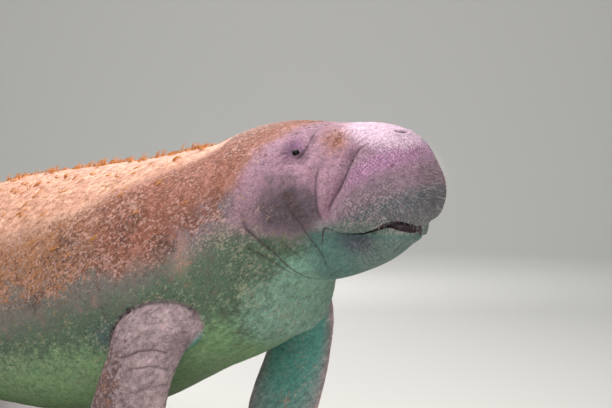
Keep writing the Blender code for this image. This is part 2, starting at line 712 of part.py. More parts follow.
def main():
    """Clears the scene and builds the animal on its stand."""
    for obj in list(bpy.data.objects):
        bpy.data.objects.remove(obj)
    build_head()
    build_trunk()
    for name in FLIPPERS:
        build_flipper(name)
    snout = Vector((-axis_at(BASE_CENTRE_STATION)[0], 0, SNOUT_HEIGHT))
    place = bpy.data.objects.new("snout", None)
    place.location = snout
    bpy.context.scene.collection.objects.link(place)
    for obj in bpy.data.objects:
        if obj.type == "MESH":
            obj.parent = place
    build_base()
    for name in ROD_STATIONS:
        build_rod(name, snout)
    for obj in bpy.data.objects:
        if obj.type == "MESH":
            obj.data.shade_smooth()
            obj.data.set_sharp_from_angle(angle=math.radians(SHARP_ANGLE))


main()
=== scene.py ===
"""Life-size manatee as a still display model: skin, eyes, nails, bristles, algae and stand."""

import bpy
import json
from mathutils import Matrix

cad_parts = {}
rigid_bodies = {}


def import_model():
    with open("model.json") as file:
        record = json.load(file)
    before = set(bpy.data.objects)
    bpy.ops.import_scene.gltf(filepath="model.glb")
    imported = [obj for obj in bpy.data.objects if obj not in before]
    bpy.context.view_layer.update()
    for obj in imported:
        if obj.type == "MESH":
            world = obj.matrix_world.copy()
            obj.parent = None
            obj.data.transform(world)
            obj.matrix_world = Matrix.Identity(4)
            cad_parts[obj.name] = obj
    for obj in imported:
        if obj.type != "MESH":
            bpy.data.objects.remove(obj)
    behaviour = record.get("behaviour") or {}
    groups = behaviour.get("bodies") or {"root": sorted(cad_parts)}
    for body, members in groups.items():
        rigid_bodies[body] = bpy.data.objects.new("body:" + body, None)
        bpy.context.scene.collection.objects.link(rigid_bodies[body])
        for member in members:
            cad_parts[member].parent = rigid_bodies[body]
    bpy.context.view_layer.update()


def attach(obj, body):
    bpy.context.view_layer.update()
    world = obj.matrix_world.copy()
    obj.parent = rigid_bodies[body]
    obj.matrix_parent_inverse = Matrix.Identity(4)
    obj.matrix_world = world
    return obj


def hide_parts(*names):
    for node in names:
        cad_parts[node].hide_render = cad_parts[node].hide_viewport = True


bl_info = {
    "name": "Manatee display model",
    "version": (1, 0, 0),
    "blender": (4, 5, 0),
    "location": "View3D > Sidebar > Manatee",
    "description": "Builds the skin, eyes, nails, bristles, algae and stand of a manatee model",
    "category": "Object",
}

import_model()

import functools
import json
import math

import bpy
import numpy as np
from mathutils import Matrix, Vector, kdtree, noise

# Body sizes in metres and degrees, in a frame that starts at the snout: +X forward, +Y left, +Z up
BODY_LENGTH = 3.00
AXIS_STATION = (0.00, 0.30, 0.42, 0.56, 0.80, 1.20, 1.80, 2.40, 3.00)
AXIS_SLOPE = (-1.0, 5.0, 24.2, 24.8, 14.2, 11.4, 8.5, 4.0, -4.0)
AXIS_STEPS = 1220
SNOUT_HEIGHT = 0.84
BASE_CENTRE_STATION = 1.32

# Sections of the trunk: distance behind the snout, half width, height above and depth below the
# axis, squareness
SECTIONS = (
    (0.16, 0.020, 0.020, 0.020, 2.0), (0.22, 0.085, 0.070, 0.090, 2.0),
    (0.30, 0.130, 0.120, 0.170, 2.0), (0.42, 0.185, 0.151, 0.286, 2.1),
    (0.56, 0.250, 0.208, 0.302, 2.1), (0.72, 0.300, 0.242, 0.316, 2.15),
    (1.00, 0.340, 0.282, 0.376, 2.2), (1.35, 0.350, 0.315, 0.352, 2.2),
    (1.70, 0.310, 0.268, 0.284, 2.15), (2.00, 0.240, 0.190, 0.200, 2.1),
    (2.20, 0.190, 0.125, 0.130, 2.0), (2.35, 0.225, 0.072, 0.074, 2.0),
    (2.55, 0.330, 0.045, 0.045, 1.9), (2.72, 0.365, 0.034, 0.034, 1.9),
    (2.82, 0.345, 0.028, 0.028, 1.9), (2.90, 0.290, 0.022, 0.022, 1.9),
    (2.96, 0.195, 0.016, 0.016, 2.0), (2.99, 0.095, 0.010, 0.010, 2.0),
    (3.00, 0.010, 0.005, 0.005, 2.0),
)
TRUNK_START = 0.18
HEAD_END = 0.75
BLEND_HEAD_TO_TRUNK = 0.08

# The head's own frame and the rounded forms in it: centre, radii, pitch, blend, one on each side
HEAD_PIVOT = (-0.36, 0.0, 0.0)
HEAD_PITCH = -1.7
HEAD_YAW = 4.1
HEAD_FORMS = {
    "cranium": ((-0.375, 0.000, 0.024), (0.200, 0.130, 0.124), 0, 0.000, False),
    "bridge": ((-0.220, 0.000, 0.073), (0.190, 0.088, 0.074), -2, 0.050, False),
    "nose": ((-0.125, 0.000, 0.068), (0.097, 0.085, 0.068), -14, 0.050, False),
    "lip_pad": ((-0.118, 0.048, 0.006), (0.104, 0.070, 0.098), -14, 0.035, True),
    "philtrum": ((-0.124, 0.000, 0.002), (0.112, 0.080, 0.093), -14, 0.040, False),
    "front_lip": ((-0.076, 0.018, -0.059), (0.045, 0.042, 0.034), -42, 0.036, True),
    "lip_corner": ((-0.170, 0.074, -0.040), (0.074, 0.042, 0.050), 20, 0.030, True),
    "cheek": ((-0.280, 0.068, -0.030), (0.120, 0.068, 0.100), 0, 0.050, True),
    "jaw": ((-0.228, 0.000, -0.106), (0.150, 0.088, 0.082), 16, 0.030, False),
    "chin": ((-0.118, 0.000, -0.090), (0.084, 0.070, 0.046), 36, 0.030, False),
    "throat": ((-0.380, 0.000, -0.112), (0.200, 0.130, 0.110), 14, 0.060, False),
}
ALL_FORMS = tuple(HEAD_FORMS)
JAW_FORMS = ("cranium", "cheek", "front_lip", "jaw", "chin", "throat")

# Broad folds: points, depth and width, as (x, z) of the head and (station, angle) of the neck
HEAD_FOLDS = {
    "behind_lip_pad": (
        ((-0.146, 0.092), (-0.158, 0.066), (-0.173, 0.025), (-0.192, -0.020),
         (-0.207, -0.066)), 0.014, 0.011),
    "cheek_fold": (
        ((-0.232, 0.060), (-0.228, 0.003), (-0.224, -0.045), (-0.212, -0.076)), 0.009, 0.010),
    "jaw_crease": (
        ((-0.294, -0.010), (-0.270, -0.060), (-0.246, -0.112), (-0.230, -0.160)), 0.007, 0.012),
    "before_eye": (((-0.255, 0.112), (-0.250, 0.078), (-0.262, 0.046)), 0.004, 0.010),
}
NECK_RADIUS = 0.20
NECK_FOLDS = {
    "upper": (
        ((0.400, 2), (0.398, -13), (0.387, -26), (0.362, -38), (0.332, -49), (0.308, -63),
         (0.286, -76), (0.262, -90)), 0.010, 0.013),
    "lower": (
        ((0.425, -20), (0.410, -35), (0.372, -48), (0.344, -62), (0.318, -76), (0.300, -90)),
        0.006, 0.011),
}
FOLD_FADE_IN = 0.15
FOLD_FADE_OUT = 0.10

# Lips on the side of the head, from the front to the corner of the mouth, and the crease behind
# the chin
UPPER_LIP = ((0.040, -0.088), (-0.024, -0.085), (-0.034, -0.078), (-0.042, -0.064),
             (-0.052, -0.057), (-0.066, -0.056), (-0.082, -0.061), (-0.103, -0.072),
             (-0.139, -0.084), (-0.173, -0.086), (-0.203, -0.075))
LOWER_LIP = ((0.040, -0.089), (-0.024, -0.086), (-0.034, -0.083), (-0.048, -0.080),
             (-0.066, -0.076), (-0.084, -0.071), (-0.103, -0.075), (-0.139, -0.0865),
             (-0.173, -0.087), (-0.203, -0.076))
CHIN_CREASE = ((-0.222, -0.105), (-0.230, -0.135), (-0.226, -0.170), (-0.215, -0.260))
JAW_OVERLAP = 0.006
LIP_HANG = ((-0.064, -0.050), (0.150, -0.050), (0.150, -0.088), (-0.040, -0.088), (-0.052, -0.083),
            (-0.062, -0.072))
LIP_HANG_START = 0.006
MOUTH_CORE = (-0.098, 0.0, -0.069)
MOUTH_CORE_RADII = (0.048, 0.038, 0.024)
LIP_ROUNDING = (0.008, 0.014)

# Rays that find the skin
RAY_REACH = 0.26
FEATURE_REACH = 0.25
CUSHION_REACH = 0.5
RAY_STEP = 0.008
RAY_HALVINGS = 12
MUZZLE_CENTRE = (0.13, -0.035)
MUZZLE_RAY_SHAPE = (0.105, 0.125)
MUZZLE_RAY_LEAN = 0.50
RAY_LEAN_START = 0.29
RAY_LEAN_FULL = 0.20
NECK_END = 0.47

# Flippers
FLIPPER_SECTIONS = (
    (0.00, 0.105, 0.075), (0.10, 0.105, 0.066), (0.18, 0.097, 0.055), (0.25, 0.089, 0.045),
    (0.36, 0.094, 0.034), (0.45, 0.097, 0.027), (0.53, 0.083, 0.020), (0.575, 0.054, 0.014),
    (0.595, 0.024, 0.008),
)
FLIPPER_STATIONS = (0.00, 0.15, 0.25, 0.385, 0.60)
FLIPPERS = {
    "right": ((-0.555, -0.120, -0.220), (-0.582, -0.222, -0.312), (-0.598, -0.248, -0.390),
              (-0.643, -0.250, -0.505), (-0.720, -0.235, -0.700)),
    "left": ((-0.515, 0.120, -0.210), (-0.530, 0.220, -0.310), (-0.545, 0.251, -0.395),
             (-0.582, 0.255, -0.515), (-0.668, 0.235, -0.710)),
}
FLIPPER_TURN = 12.0
FLIPPER_STEP = 0.005
FLIPPER_SAMPLES = 121
FLIPPER_BLEND_CREASE = 0.010
FLIPPER_BLEND_PIT = 0.060
NAIL_OFFSETS = (0.032, 0.012, -0.008)
NAIL_MIDDLE = 0.012
NAIL_FROM_TIP = 0.028
NAIL_ROW_CURVE = 0.5

# Eyes and nostrils in the head's frame
EYE_PLACE = (-0.278, 0.116, 0.077)
EYE_SET_IN = 0.0045
HEAD_CORE_HEIGHT = 0.03
NOSTRIL_PLACE = (-0.077, 0.028, 0.126)
NOSTRIL_TURN = 58.0

# Eye and nostril openings: half length and half height; lids: height and width over the skin
EYE_RADIUS = 0.0098
EYE_OPENING = (0.0066, 0.0042)
EYE_PIT = 0.009
LID_HEIGHT = 0.0045
LID_WIDTH = 0.013
EYE_TILT = 0.10
EYE_DOME_START = 0.80
EYE_DOME_RISE = 0.06
NOSTRIL_OPENING = (0.0135, 0.0042)
NOSTRIL_BOW = 14
NOSTRIL_DEPTH = 0.007
NOSTRIL_RIM = 0.0012
EYE_SURROUND = 0.06
NOSTRIL_SURROUND = 0.04

# Narrow grooves: points, depth, width and darkness of the shade painted along them, on the trunk
# as (station, angle), on the head as (x, z) and on a flipper as (distance along, across)
LINE_WIDTH = 0.0022
# Seam where each flipper meets the body: depth and width, and width and darkness of the shade
# painted along it
SEAM_DEPTH = 0.004
SEAM_WIDTH = 0.006
SEAM_LINE_WIDTH = 0.0026
SEAM_SHADE = 0.75
TRUNK_GROOVES = {
    "neck_front": (
        ((0.286, -8), (0.270, -22), (0.247, -35), (0.234, -52), (0.225, -67), (0.215, -81)),
        0.0030, 0.0035, 0.8),
    "neck_middle": (
        ((0.398, -13), (0.389, -26), (0.364, -38), (0.336, -49), (0.319, -63), (0.302, -76),
         (0.265, -87)), 0.0035, 0.0035, 1.0),
    "neck_low": (((0.410, -35), (0.362, -48), (0.334, -62), (0.310, -76)), 0.0030, 0.0035, 0.8),
    "throat": (((0.300, -44), (0.285, -52), (0.272, -58)), 0.0020, 0.0030, 0.9),
    "before_shoulder": (
        ((0.582, -33), (0.590, -40), (0.600, -48), (0.616, -56)), 0.0030, 0.0040, 0.8),
    "behind_shoulder": (
        ((0.746, -20), (0.750, -24), (0.752, -28), (0.746, -33)), 0.0030, 0.0040, 0.7),
    "armpit": (((0.800, -24), (0.786, -29), (0.778, -34), (0.770, -38)), 0.0025, 0.0040, 0.6),
    "chest": (((0.470, -60), (0.520, -66), (0.580, -70), (0.640, -70)), 0.0020, 0.0080, 0.2),
}
HEAD_GROOVES = {
    "behind_lip_pad": (
        ((-0.110, 0.106), (-0.130, 0.094), (-0.157, 0.070), (-0.173, 0.025),
         (-0.192, -0.020), (-0.206, -0.060)), 0.0020, 0.0030, 0.9),
    "cheek": (
        ((-0.226, 0.060), (-0.227, 0.030), (-0.224, -0.005), (-0.219, -0.045), (-0.203, -0.076)),
        0.0020, 0.0030, 0.7),
    "before_eye": (
        ((-0.261, 0.130), (-0.260, 0.105), (-0.262, 0.085), (-0.265, 0.071), (-0.275, 0.058)),
        0.0026, 0.0024, 0.85),
    "beside_eye": (((-0.251, 0.120), (-0.254, 0.098), (-0.257, 0.076)), 0.0014, 0.0020, 0.3),
    "under_eye": (((-0.304, 0.056), (-0.289, 0.052), (-0.273, 0.056)), 0.0018, 0.0022, 0.5),
    "eye_fan_low": (((-0.286, 0.066), (-0.296, 0.052), (-0.306, 0.034)), 0.0014, 0.0020, 0.3),
    "eye_fan_middle": (((-0.288, 0.072), (-0.303, 0.060), (-0.318, 0.044)), 0.0014, 0.0020, 0.35),
    "eye_fan_rear": (((-0.289, 0.080), (-0.308, 0.073), (-0.326, 0.062)), 0.0014, 0.0020, 0.3),
    "eye_fan_high": (((-0.287, 0.090), (-0.304, 0.096), (-0.322, 0.096)), 0.0012, 0.0020, 0.25),
    "muzzle_top": (((-0.152, 0.090), (-0.136, 0.108), (-0.120, 0.124)), 0.0008, 0.0022, 0.25),
    "over_cheek": (((-0.300, 0.030), (-0.286, 0.005), (-0.282, -0.020)), 0.0012, 0.0024, 0.3),
}
LIMB_GROOVES = {
    "elbow_upper": (
        ((0.248, -0.040), (0.232, -0.012), (0.212, 0.015), (0.196, 0.050), (0.190, 0.096)),
        0.0030, 0.0035, 0.8),
    "elbow_middle": (
        ((0.262, -0.010), (0.248, 0.020), (0.230, 0.055), (0.226, 0.096)), 0.0022, 0.0032, 0.6),
    "elbow_lower": (((0.310, 0.020), (0.280, 0.050), (0.262, 0.080), (0.256, 0.100)),
                    0.0022, 0.0032, 0.5),
    "elbow_rear": (((0.215, -0.095), (0.205, -0.060), (0.200, -0.030)), 0.0016, 0.0030, 0.3),
    "forearm": (((0.350, 0.030), (0.335, 0.060), (0.325, 0.092)), 0.0012, 0.0030, 0.3),
}

# Zones of the hide between slopes: a coordinate, its value outside the zone and that inside
ZONE_SLOPES = {
    "side": (("over_back_edge", 7, -9),),
    "neck": (("around", 14, -4), ("s", 0.30, 0.36), ("s", 0.60, 0.46)),
    # belly, keel and throat: green partly from algae and partly painted green light from the water
    # below; keel and throat are lighter as painted light from below
    "belly": (("over_belly_edge", 13, -15),),
    "keel": (("over_keel_edge", 13, -13), ("s", 0.42, 0.62)),
    "throat": (("around", -44, -70), ("s", 0.20, 0.26), ("s", 0.62, 0.45)),
    # Lower flank: partly the skin's own grey and partly painted shade where the body turns from the
    # light above
    "dusk": (("around", 22, -8), ("s", 0.48, 0.62)),
    "nape": (("front", -0.07, -0.02), ("around", -24, 2)),
    "face": (("front", 0.02, -0.04), ("z", -0.145, -0.035), ("s", 0.50, 0.38)),
    # cheek: painted shade over the lower part of the face
    "cheek": (("z", 0.052, -0.045), ("x", -0.46, -0.27), ("x", -0.19, -0.24),
              ("z", -0.130, -0.060)),
    "pads": (("back_of_pads", -0.205, -0.15), ("z", -0.095, -0.075)),
    "lip": (("z", -0.085, -0.100), ("x", -0.20, -0.14)),
    "disk": (("band", 0.115, 0.060),),
    "top": (("height", 0.070, 0.128), ("x", -0.27, -0.15)),
    "violet": (("x", -0.18, -0.13),),
    # under, lower, rim and jaw: darker and greener towards the bottom of the muzzle, partly the
    # skin's own colour and partly painted shade and green light from the water below
    "under": (("band", 0.040, -0.028), ("x", -0.22, -0.14)),
    "lower": (("band", -0.015, -0.055), ("x", -0.24, -0.18)),
    "rim": (("z", -0.040, -0.084), ("x", -0.26, -0.19)),
    "jaw": (("z", -0.078, -0.092), ("x", -0.29, -0.21)),
}
# Zones round a middle: a coordinate, its middle and its spread
ZONE_SPOTS = {
    "halo": (("x", -0.290, 0.026), ("z", 0.088, 0.024)),
    "brow": (("x", -0.205, 0.036), ("z", 0.108, 0.034)),
    # armpit: painted shadow on the body behind the flipper's root
    "armpit": (("s", 0.775, 0.045), ("around", -35, 8)),
    "violet": (("band", 0.042, 0.028),),
    # chin: painted shadow on the jaw under the overhanging upper lip
    "chin": (("x", -0.150, 0.045), ("z", -0.100, 0.030)),
}
ZONE_STRENGTHS = {"halo": 0.9, "violet": 0.75, "rim": 0.85, "lip": 0.45}
# Angles round the body of the lower edge of the pale back, the upper edge of the green belly, whose
# green is partly painted light from the water below, and that of its paler middle, lightened as
# painted light from below, by station
ZONE_EDGES = {
    "over_back_edge": ((0.38, 0.43, 0.50, 0.60, 0.74, 0.85, 1.10, 3.00),
                       (115, 54, 40, 31, 26, 21, 18, 20)),
    "over_belly_edge": ((0.27, 0.32, 0.36, 0.47, 0.60, 0.78, 1.00, 3.00),
                        (-33, -29, -21, -18, -22, -19, -18, -12)),
    "over_keel_edge": ((0.55, 0.90), (-49, -34)),
}
# Dark patches: station, its spread, angle, its spread
DARK_PATCHES = (
    (0.81, 0.07, 8, 11), (0.63, 0.06, 6, 12), (0.56, 0.05, -8, 8), (0.93, 0.05, -12, 7),
    (1.25, 0.10, 2, 12), (1.60, 0.18, 20, 18), (1.95, 0.16, 34, 22), (2.45, 0.16, 50, 40))
# Zones in the order they are coloured, and how far the mottling breaks up the edge of each
ZONE_BREAKS = {
    "side": 1.2, "dusk": 1.4, "nape": 0.8, "neck": 1.0, "belly": 1.0, "keel": 1.2, "throat": 0.9,
    "armpit": 0.3, "face": 1.1, "cheek": 1.3, "halo": 0.6, "brow": 1.0, "disk": 0.6, "top": 0.5,
    "violet": 0.7, "under": 0.6, "lower": 0.6, "rim": 0.5, "jaw": 0.5, "chin": 0.9}
SKIN_MARKS = (*ZONE_BREAKS, "muzzle", "gold", "algae", "dark", "pale", "net", "limb", "crease",
              "lid")

# Fineness of the skin
BODY_SEGMENTS = 168
JAW_SEGMENTS = 132
FLIPPER_SEGMENTS = 64
FLIPPER_RINGS = 84
FLIPPER_REACH = 0.080
SETTLE_STEPS = 3
SETTLE_MOST = 0.006
SLOPE_STEP = 0.001
BLOCK_HALF_WIDTH = 0.30
BLOCK_FRONT = 0.15
BODY_RINGS = ((0.13, 0.36, 0.0032), (0.36, 0.50, 0.0045), (0.50, 0.76, 0.0075), (0.76, 2.20, 0.016))
TAIL_RINGS = 44
TAIL_START = 2.20
TAIL_LENGTH = 0.785
JAW_RINGS = (0.13, 0.34, 0.004)

# Unevenness of the trunk and fine wrinkles of neck and elbows: height, and size or period
SWELL = (0.0045, 0.16)
DIMPLES = (0.0014, 0.045)
HEAD_DIMPLES = 0.0004
NECK_WRINKLES = (0.0006, 0.0022)
ELBOW_WRINKLES = (0.0007, 0.0024)

# Nails: radii across, out of and along the flipper, and how far out they are set
NAIL_RADII = (0.0075, 0.0045, 0.013)
NAIL_SET_OUT = 0.90

# Stand: stations of the rods, and the screws in their flanges
RODS = {"front": 1.02, "rear": 1.72}
ROD_RADIUS = 0.019
FLANGE_TOP = 0.0523
FLANGE_SCREW_RADIUS = 0.046
CUSHION_RADIUS = 0.0045
SCREW_RADIUS = 0.0058
SCREW_HEIGHT = 0.004
SOCKET_RADIUS = 0.0030
SOCKET_DEPTH = 0.0036
SCREW_BEVEL = 0.0005

# Hairs and strands: corners round each and rings along each
STRAND_SIDES = 3
STRAND_RINGS = 7
ROOT_DEPTH = 0.0015
STRAND_TAPER = 0.75
TIP_LENGTH = 0.4
PATCH_SIZE = 0.003
FOLLICLE_STEP = 0.0054

# The camera's place in the same frame, for a picture 612 wide and 408 high
CAMERA_TARGET = (-0.3276, 0.0, -0.0349)
CAMERA_AZIMUTH = 38.4174
CAMERA_ELEVATION = 1.2777
CAMERA_DISTANCE = 1.8974
CAMERA_LENS = 50.0
CAMERA_SENSOR = 36.0

# Lamps: place, target, size and colour; and rings of faces in the curve from floor to wall
LAMPS = {
    "overhead": ((0.2, -0.2, 2.9), (0.1, 0.0, 0.8), 2.6, (1.0, 0.98, 0.95)),
    "floor": ((-1.5, 3.0, 4.6), (-1.8, 3.6, 0.0), 5.0, (1.0, 1.0, 1.0)),
    "wall": ((-2.4, 3.4, 4.6), (-6.0, 8.0, 3.4), 4.0, (1.0, 1.0, 1.0)),
    "front": ((3.4, -3.6, 2.2), (0.6, 0.0, 0.75), 2.4, (1.0, 1.0, 1.0)),
    "rear": ((-3.6, 3.4, 2.6), (-0.3, 0.0, 0.8), 2.4, (1.0, 1.0, 1.0)),
}
WALL_STEPS = 14


def linear(code):
    """Linear colour, with full alpha, of an sRGB hex code such as #8a5a44."""
    values = [int(code[i:i + 2], 16) / 255 for i in (1, 3, 5)]
    return [v / 12.92 if v <= 0.04045 else ((v + 0.055) / 1.055) ** 2.4 for v in values] + [1.0]


def smooth_step(low, high, x):
    """0 below low, 1 above high and an even slope between; low may be the larger."""
    t = np.clip((x - low) / (high - low), 0, 1)
    return t * t * (3 - 2 * t)


def bell(x, width):
    """Rounded peak of height 1."""
    return np.exp(-(x / width) ** 2)


def curve_through(x, stations, values):
    """Smooth curve through the given values, flat beyond its ends."""
    stations = np.asarray(stations, float)
    values = np.asarray(values, float)
    step = np.diff(stations)
    slope = np.diff(values) / step
    tangent = np.empty_like(values)
    tangent[1:-1] = (slope[:-1] * step[1:] + slope[1:] * step[:-1]) / (step[:-1] + step[1:])
    tangent[0] = slope[0]
    tangent[-1] = slope[-1]
    x = np.clip(x, stations[0], stations[-1])
    i = np.clip(np.searchsorted(stations, x) - 1, 0, len(step) - 1)
    t = (x - stations[i]) / step[i]
    start = (1 + 2 * t) * (1 - t) ** 2 * values[i] + t * (1 - t) ** 2 * step[i] * tangent[i]
    end = t * t * (3 - 2 * t) * values[i + 1] + t * t * (t - 1) * step[i] * tangent[i + 1]
    return start + end


def smooth_min(a, b, width):
    """Smaller of two distances, blended over a width."""
    width = np.maximum(width, 1e-9)
    h = np.maximum(width - np.abs(a - b), 0) / width
    return np.minimum(a, b) - h ** 3 * width / 6


def trace_axis():
    """Points and slopes of the body's axis, by distance behind the snout."""
    station = np.linspace(0, BODY_LENGTH, AXIS_STEPS + 1)
    slope = np.radians(curve_through(station, AXIS_STATION, AXIS_SLOPE))
    step = station[1] - station[0]
    back = (np.cos(slope[1:]) + np.cos(slope[:-1])) / 2 * step
    down = (np.sin(slope[1:]) + np.sin(slope[:-1])) / 2 * step
    x = -np.concatenate([[0], np.cumsum(back)])
    z = -np.concatenate([[0], np.cumsum(down)])
    return station, x, z, slope


AXIS = trace_axis()
SECTION_TABLE = [curve_through(AXIS[0], *zip(*[(row[0], row[i]) for row in SECTIONS]))
                 for i in range(1, 5)]


def axis_at(station):
    """Place and slope of the body's axis at a distance behind the snout."""
    return tuple(np.interp(station, AXIS[0], column) for column in AXIS[1:])


def section_at(station):
    """Half width, height, depth and squareness of the trunk at a station."""
    return [np.interp(station, AXIS[0], column) for column in SECTION_TABLE]


SNOUT = np.array([-float(axis_at(BASE_CENTRE_STATION)[0]), 0.0, SNOUT_HEIGHT])


def along_axis(p):
    """Station of each point, its height over the axis and its distance along it from there."""
    s = np.clip(-p[..., 0], 0, BODY_LENGTH)
    for _ in range(3):
        x, z, slope = axis_at(s)
        s = s - ((p[..., 0] - x) * np.cos(slope) + (p[..., 2] - z) * np.sin(slope))
        s = np.clip(s, 0, BODY_LENGTH)
    x, z, slope = axis_at(s)
    ahead = (p[..., 0] - x) * np.cos(slope) + (p[..., 2] - z) * np.sin(slope)
    height = -(p[..., 0] - x) * np.sin(slope) + (p[..., 2] - z) * np.cos(slope)
    return s, height, ahead


def to_segments(px, pz, points):
    """Distance of points in a plane from a line of segments, and the share of its length there."""
    points = np.asarray(points, float)
    lengths = np.hypot(*np.diff(points, axis=0).T)
    run = np.concatenate([[0], np.cumsum(lengths)]) / lengths.sum()
    best = np.full(px.shape, 9.0)
    share = np.zeros(px.shape)
    for i in range(len(points) - 1):
        a = points[i]
        ab = points[i + 1] - a
        t = np.clip(((px - a[0]) * ab[0] + (pz - a[1]) * ab[1]) / (ab @ ab), 0, 1)
        d = np.hypot(px - a[0] - t * ab[0], pz - a[1] - t * ab[1])
        nearer = d < best
        best = np.where(nearer, d, best)
        share = np.where(nearer, run[i] + t * (run[i + 1] - run[i]), share)
    return best, share


def fold(distance, share, depth, width):
    """Depth of a fold that fades in and out along its line."""
    fade = np.clip(share / FOLD_FADE_IN, 0, 1) * np.clip((1 - share) / FOLD_FADE_OUT, 0, 1)
    return depth * fade * bell(distance, width)


def trunk_field(p):
    """Signed distance from the trunk and tail, about right near the surface."""
    s, height, ahead = along_axis(p)
    half_width, top, bottom, power = section_at(s)
    side = np.abs(p[..., 1])
    reach = np.where(height > 0, top, bottom)
    q = ((side / half_width) ** power + (np.abs(height) / reach) ** power) ** (1 / power)
    r = np.hypot(side, height)
    field = np.where(r < 1e-6, -np.minimum(half_width, reach), r * (1 - 1 / np.maximum(q, 1e-6)))
    field = field + np.abs(ahead) + 2 * np.maximum(TRUNK_START - s, 0)
    near = np.flatnonzero(s < NECK_END)
    around = np.arctan2(height[near], side[near]) * NECK_RADIUS
    for points, depth, width in NECK_FOLDS.values():
        line = [(station, math.radians(angle) * NECK_RADIUS) for station, angle in points]
        distance, share = to_segments(s[near], around, line)
        field[near] += fold(distance, np.minimum(share, 0.5), depth, width)
    return field


def head_axes():
    """Forward, left and up of the head's frame."""
    yaw = math.radians(HEAD_YAW)
    pitch = math.radians(HEAD_PITCH)
    forward = np.array([math.cos(yaw) * math.cos(pitch), math.sin(yaw) * math.cos(pitch),
                        math.sin(pitch)])
    left = np.array([-math.sin(yaw), math.cos(yaw), 0.0])
    return forward, left, np.cross(forward, left)


def to_head(p):
    """Points of the body's frame in the head's frame."""
    offset = p - np.array(HEAD_PIVOT)
    return np.stack([offset @ a for a in head_axes()], -1) + np.array(HEAD_PIVOT)


def from_head(q):
    """Points of the head's frame in the body's frame."""
    offset = np.asarray(q, float) - np.array(HEAD_PIVOT)
    forward, left, up = head_axes()
    turned = offset[..., :1] * forward + offset[..., 1:2] * left + offset[..., 2:] * up
    return turned + np.array(HEAD_PIVOT)


def ellipsoid_field(q, centre, radii, pitch):
    """Signed distance from an ellipsoid pitched nose up, about right near it."""
    a = math.radians(pitch)
    offset = q - np.array(centre)
    turned = np.stack([
        offset[..., 0] * math.cos(a) + offset[..., 2] * math.sin(a),
        offset[..., 1],
        -offset[..., 0] * math.sin(a) + offset[..., 2] * math.cos(a),
    ], -1)
    r = np.array(radii)
    k0 = np.sqrt(((turned / r) ** 2).sum(-1))
    k1 = np.sqrt(((turned / r ** 2) ** 2).sum(-1))
    return np.where(k1 > 1e-9, k0 * (k0 - 1) / np.maximum(k1, 1e-9), -r.min())


def head_field(q, forms):
    """Signed distance from the head's named forms, with their folds and rounded lips."""
    mirrored = q.copy()
    mirrored[..., 1] = np.abs(mirrored[..., 1])
    field = None
    for name in forms:
        centre, radii, pitch, blend, paired = HEAD_FORMS[name]
        form = ellipsoid_field(mirrored if paired else q, centre, radii, pitch)
        field = form if field is None else smooth_min(field, form, blend)
    for points, depth, width in HEAD_FOLDS.values():
        distance, share = to_segments(q[..., 0], q[..., 2], points)
        field = field + fold(distance, share, depth, width)
    lip = LOWER_LIP if forms == JAW_FORMS else UPPER_LIP
    distance, share = to_segments(q[..., 0], q[..., 2], lip)
    depth, width = LIP_ROUNDING
    return field + depth * bell(distance, width) * np.clip((1.05 - share) / 0.20, 0, 1)


def body_field(p, forms=ALL_FORMS):
    """Signed distance from the whole body without its flippers."""
    field = trunk_field(p)
    near = np.flatnonzero(p[:, 0] > -HEAD_END)
    if len(near):
        head = head_field(to_head(p[near]), forms)
        field[near] = smooth_min(field[near], head, BLEND_HEAD_TO_TRUNK)
    return field


def outermost(centres, directions, reach, level, forms=ALL_FORMS):
    """Outermost place where each ray leaves the body's skin at a level."""
    near = np.zeros(len(centres))
    far = reach.copy()
    todo = np.arange(len(centres))
    r = reach.copy()
    while len(todo):
        r[todo] = np.maximum(r[todo] - RAY_STEP, 0)
        inside = body_field(centres[todo] + directions[todo] * r[todo][:, None], forms) < level
        inside |= r[todo] <= 0
        near[todo] = r[todo]
        far[todo[~inside]] = r[todo[~inside]]
        todo = todo[~inside]
    for _ in range(RAY_HALVINGS):
        middle = (near + far) / 2
        inside = body_field(centres + directions * middle[:, None], forms) < level
        near = np.where(inside, middle, near)
        far = np.where(inside, far, middle)
    return centres + directions * ((near + far) / 2)[:, None]


def ring_rays(station, segments):
    """Rays round the axis at a station, which lean with the muzzle's folds near the snout."""
    angle = np.linspace(0, 2 * math.pi, segments, endpoint=False)
    x, z, slope = axis_at(station)
    half_width, top, bottom, _ = section_at(station)
    share = smooth_step(NECK_END, MUZZLE_CENTRE[0], station)
    wide = half_width * (1 - share) + MUZZLE_RAY_SHAPE[0] * share
    tall = (top + bottom) / 2 * (1 - share) + MUZZLE_RAY_SHAPE[1] * share
    across = np.cos(angle) * wide
    up = np.sin(angle) * tall
    lean = MUZZLE_RAY_LEAN * smooth_step(RAY_LEAN_START, RAY_LEAN_FULL, station)
    ahead = lean * np.maximum(up, 0)
    d = np.stack([math.cos(slope) * ahead - math.sin(slope) * up, across,
                  math.sin(slope) * ahead + math.cos(slope) * up], -1)
    drop = share * MUZZLE_CENTRE[1]
    centre = [x - math.sin(slope) * drop, 0, z + math.cos(slope) * drop]
    return np.tile(centre, (segments, 1)), d / np.linalg.norm(d, axis=1)[:, None]


def muzzle_rays(turn, segments):
    """Rays from the muzzle's middle, turned forward from square to the axis."""
    centres, d = ring_rays(MUZZLE_CENTRE[0], segments)
    slope = axis_at(MUZZLE_CENTRE[0])[2]
    forward = np.array([math.cos(slope), 0, math.sin(slope)])
    d = d * math.cos(turn) + forward * math.sin(turn)
    return centres, d / np.linalg.norm(d, axis=1)[:, None]


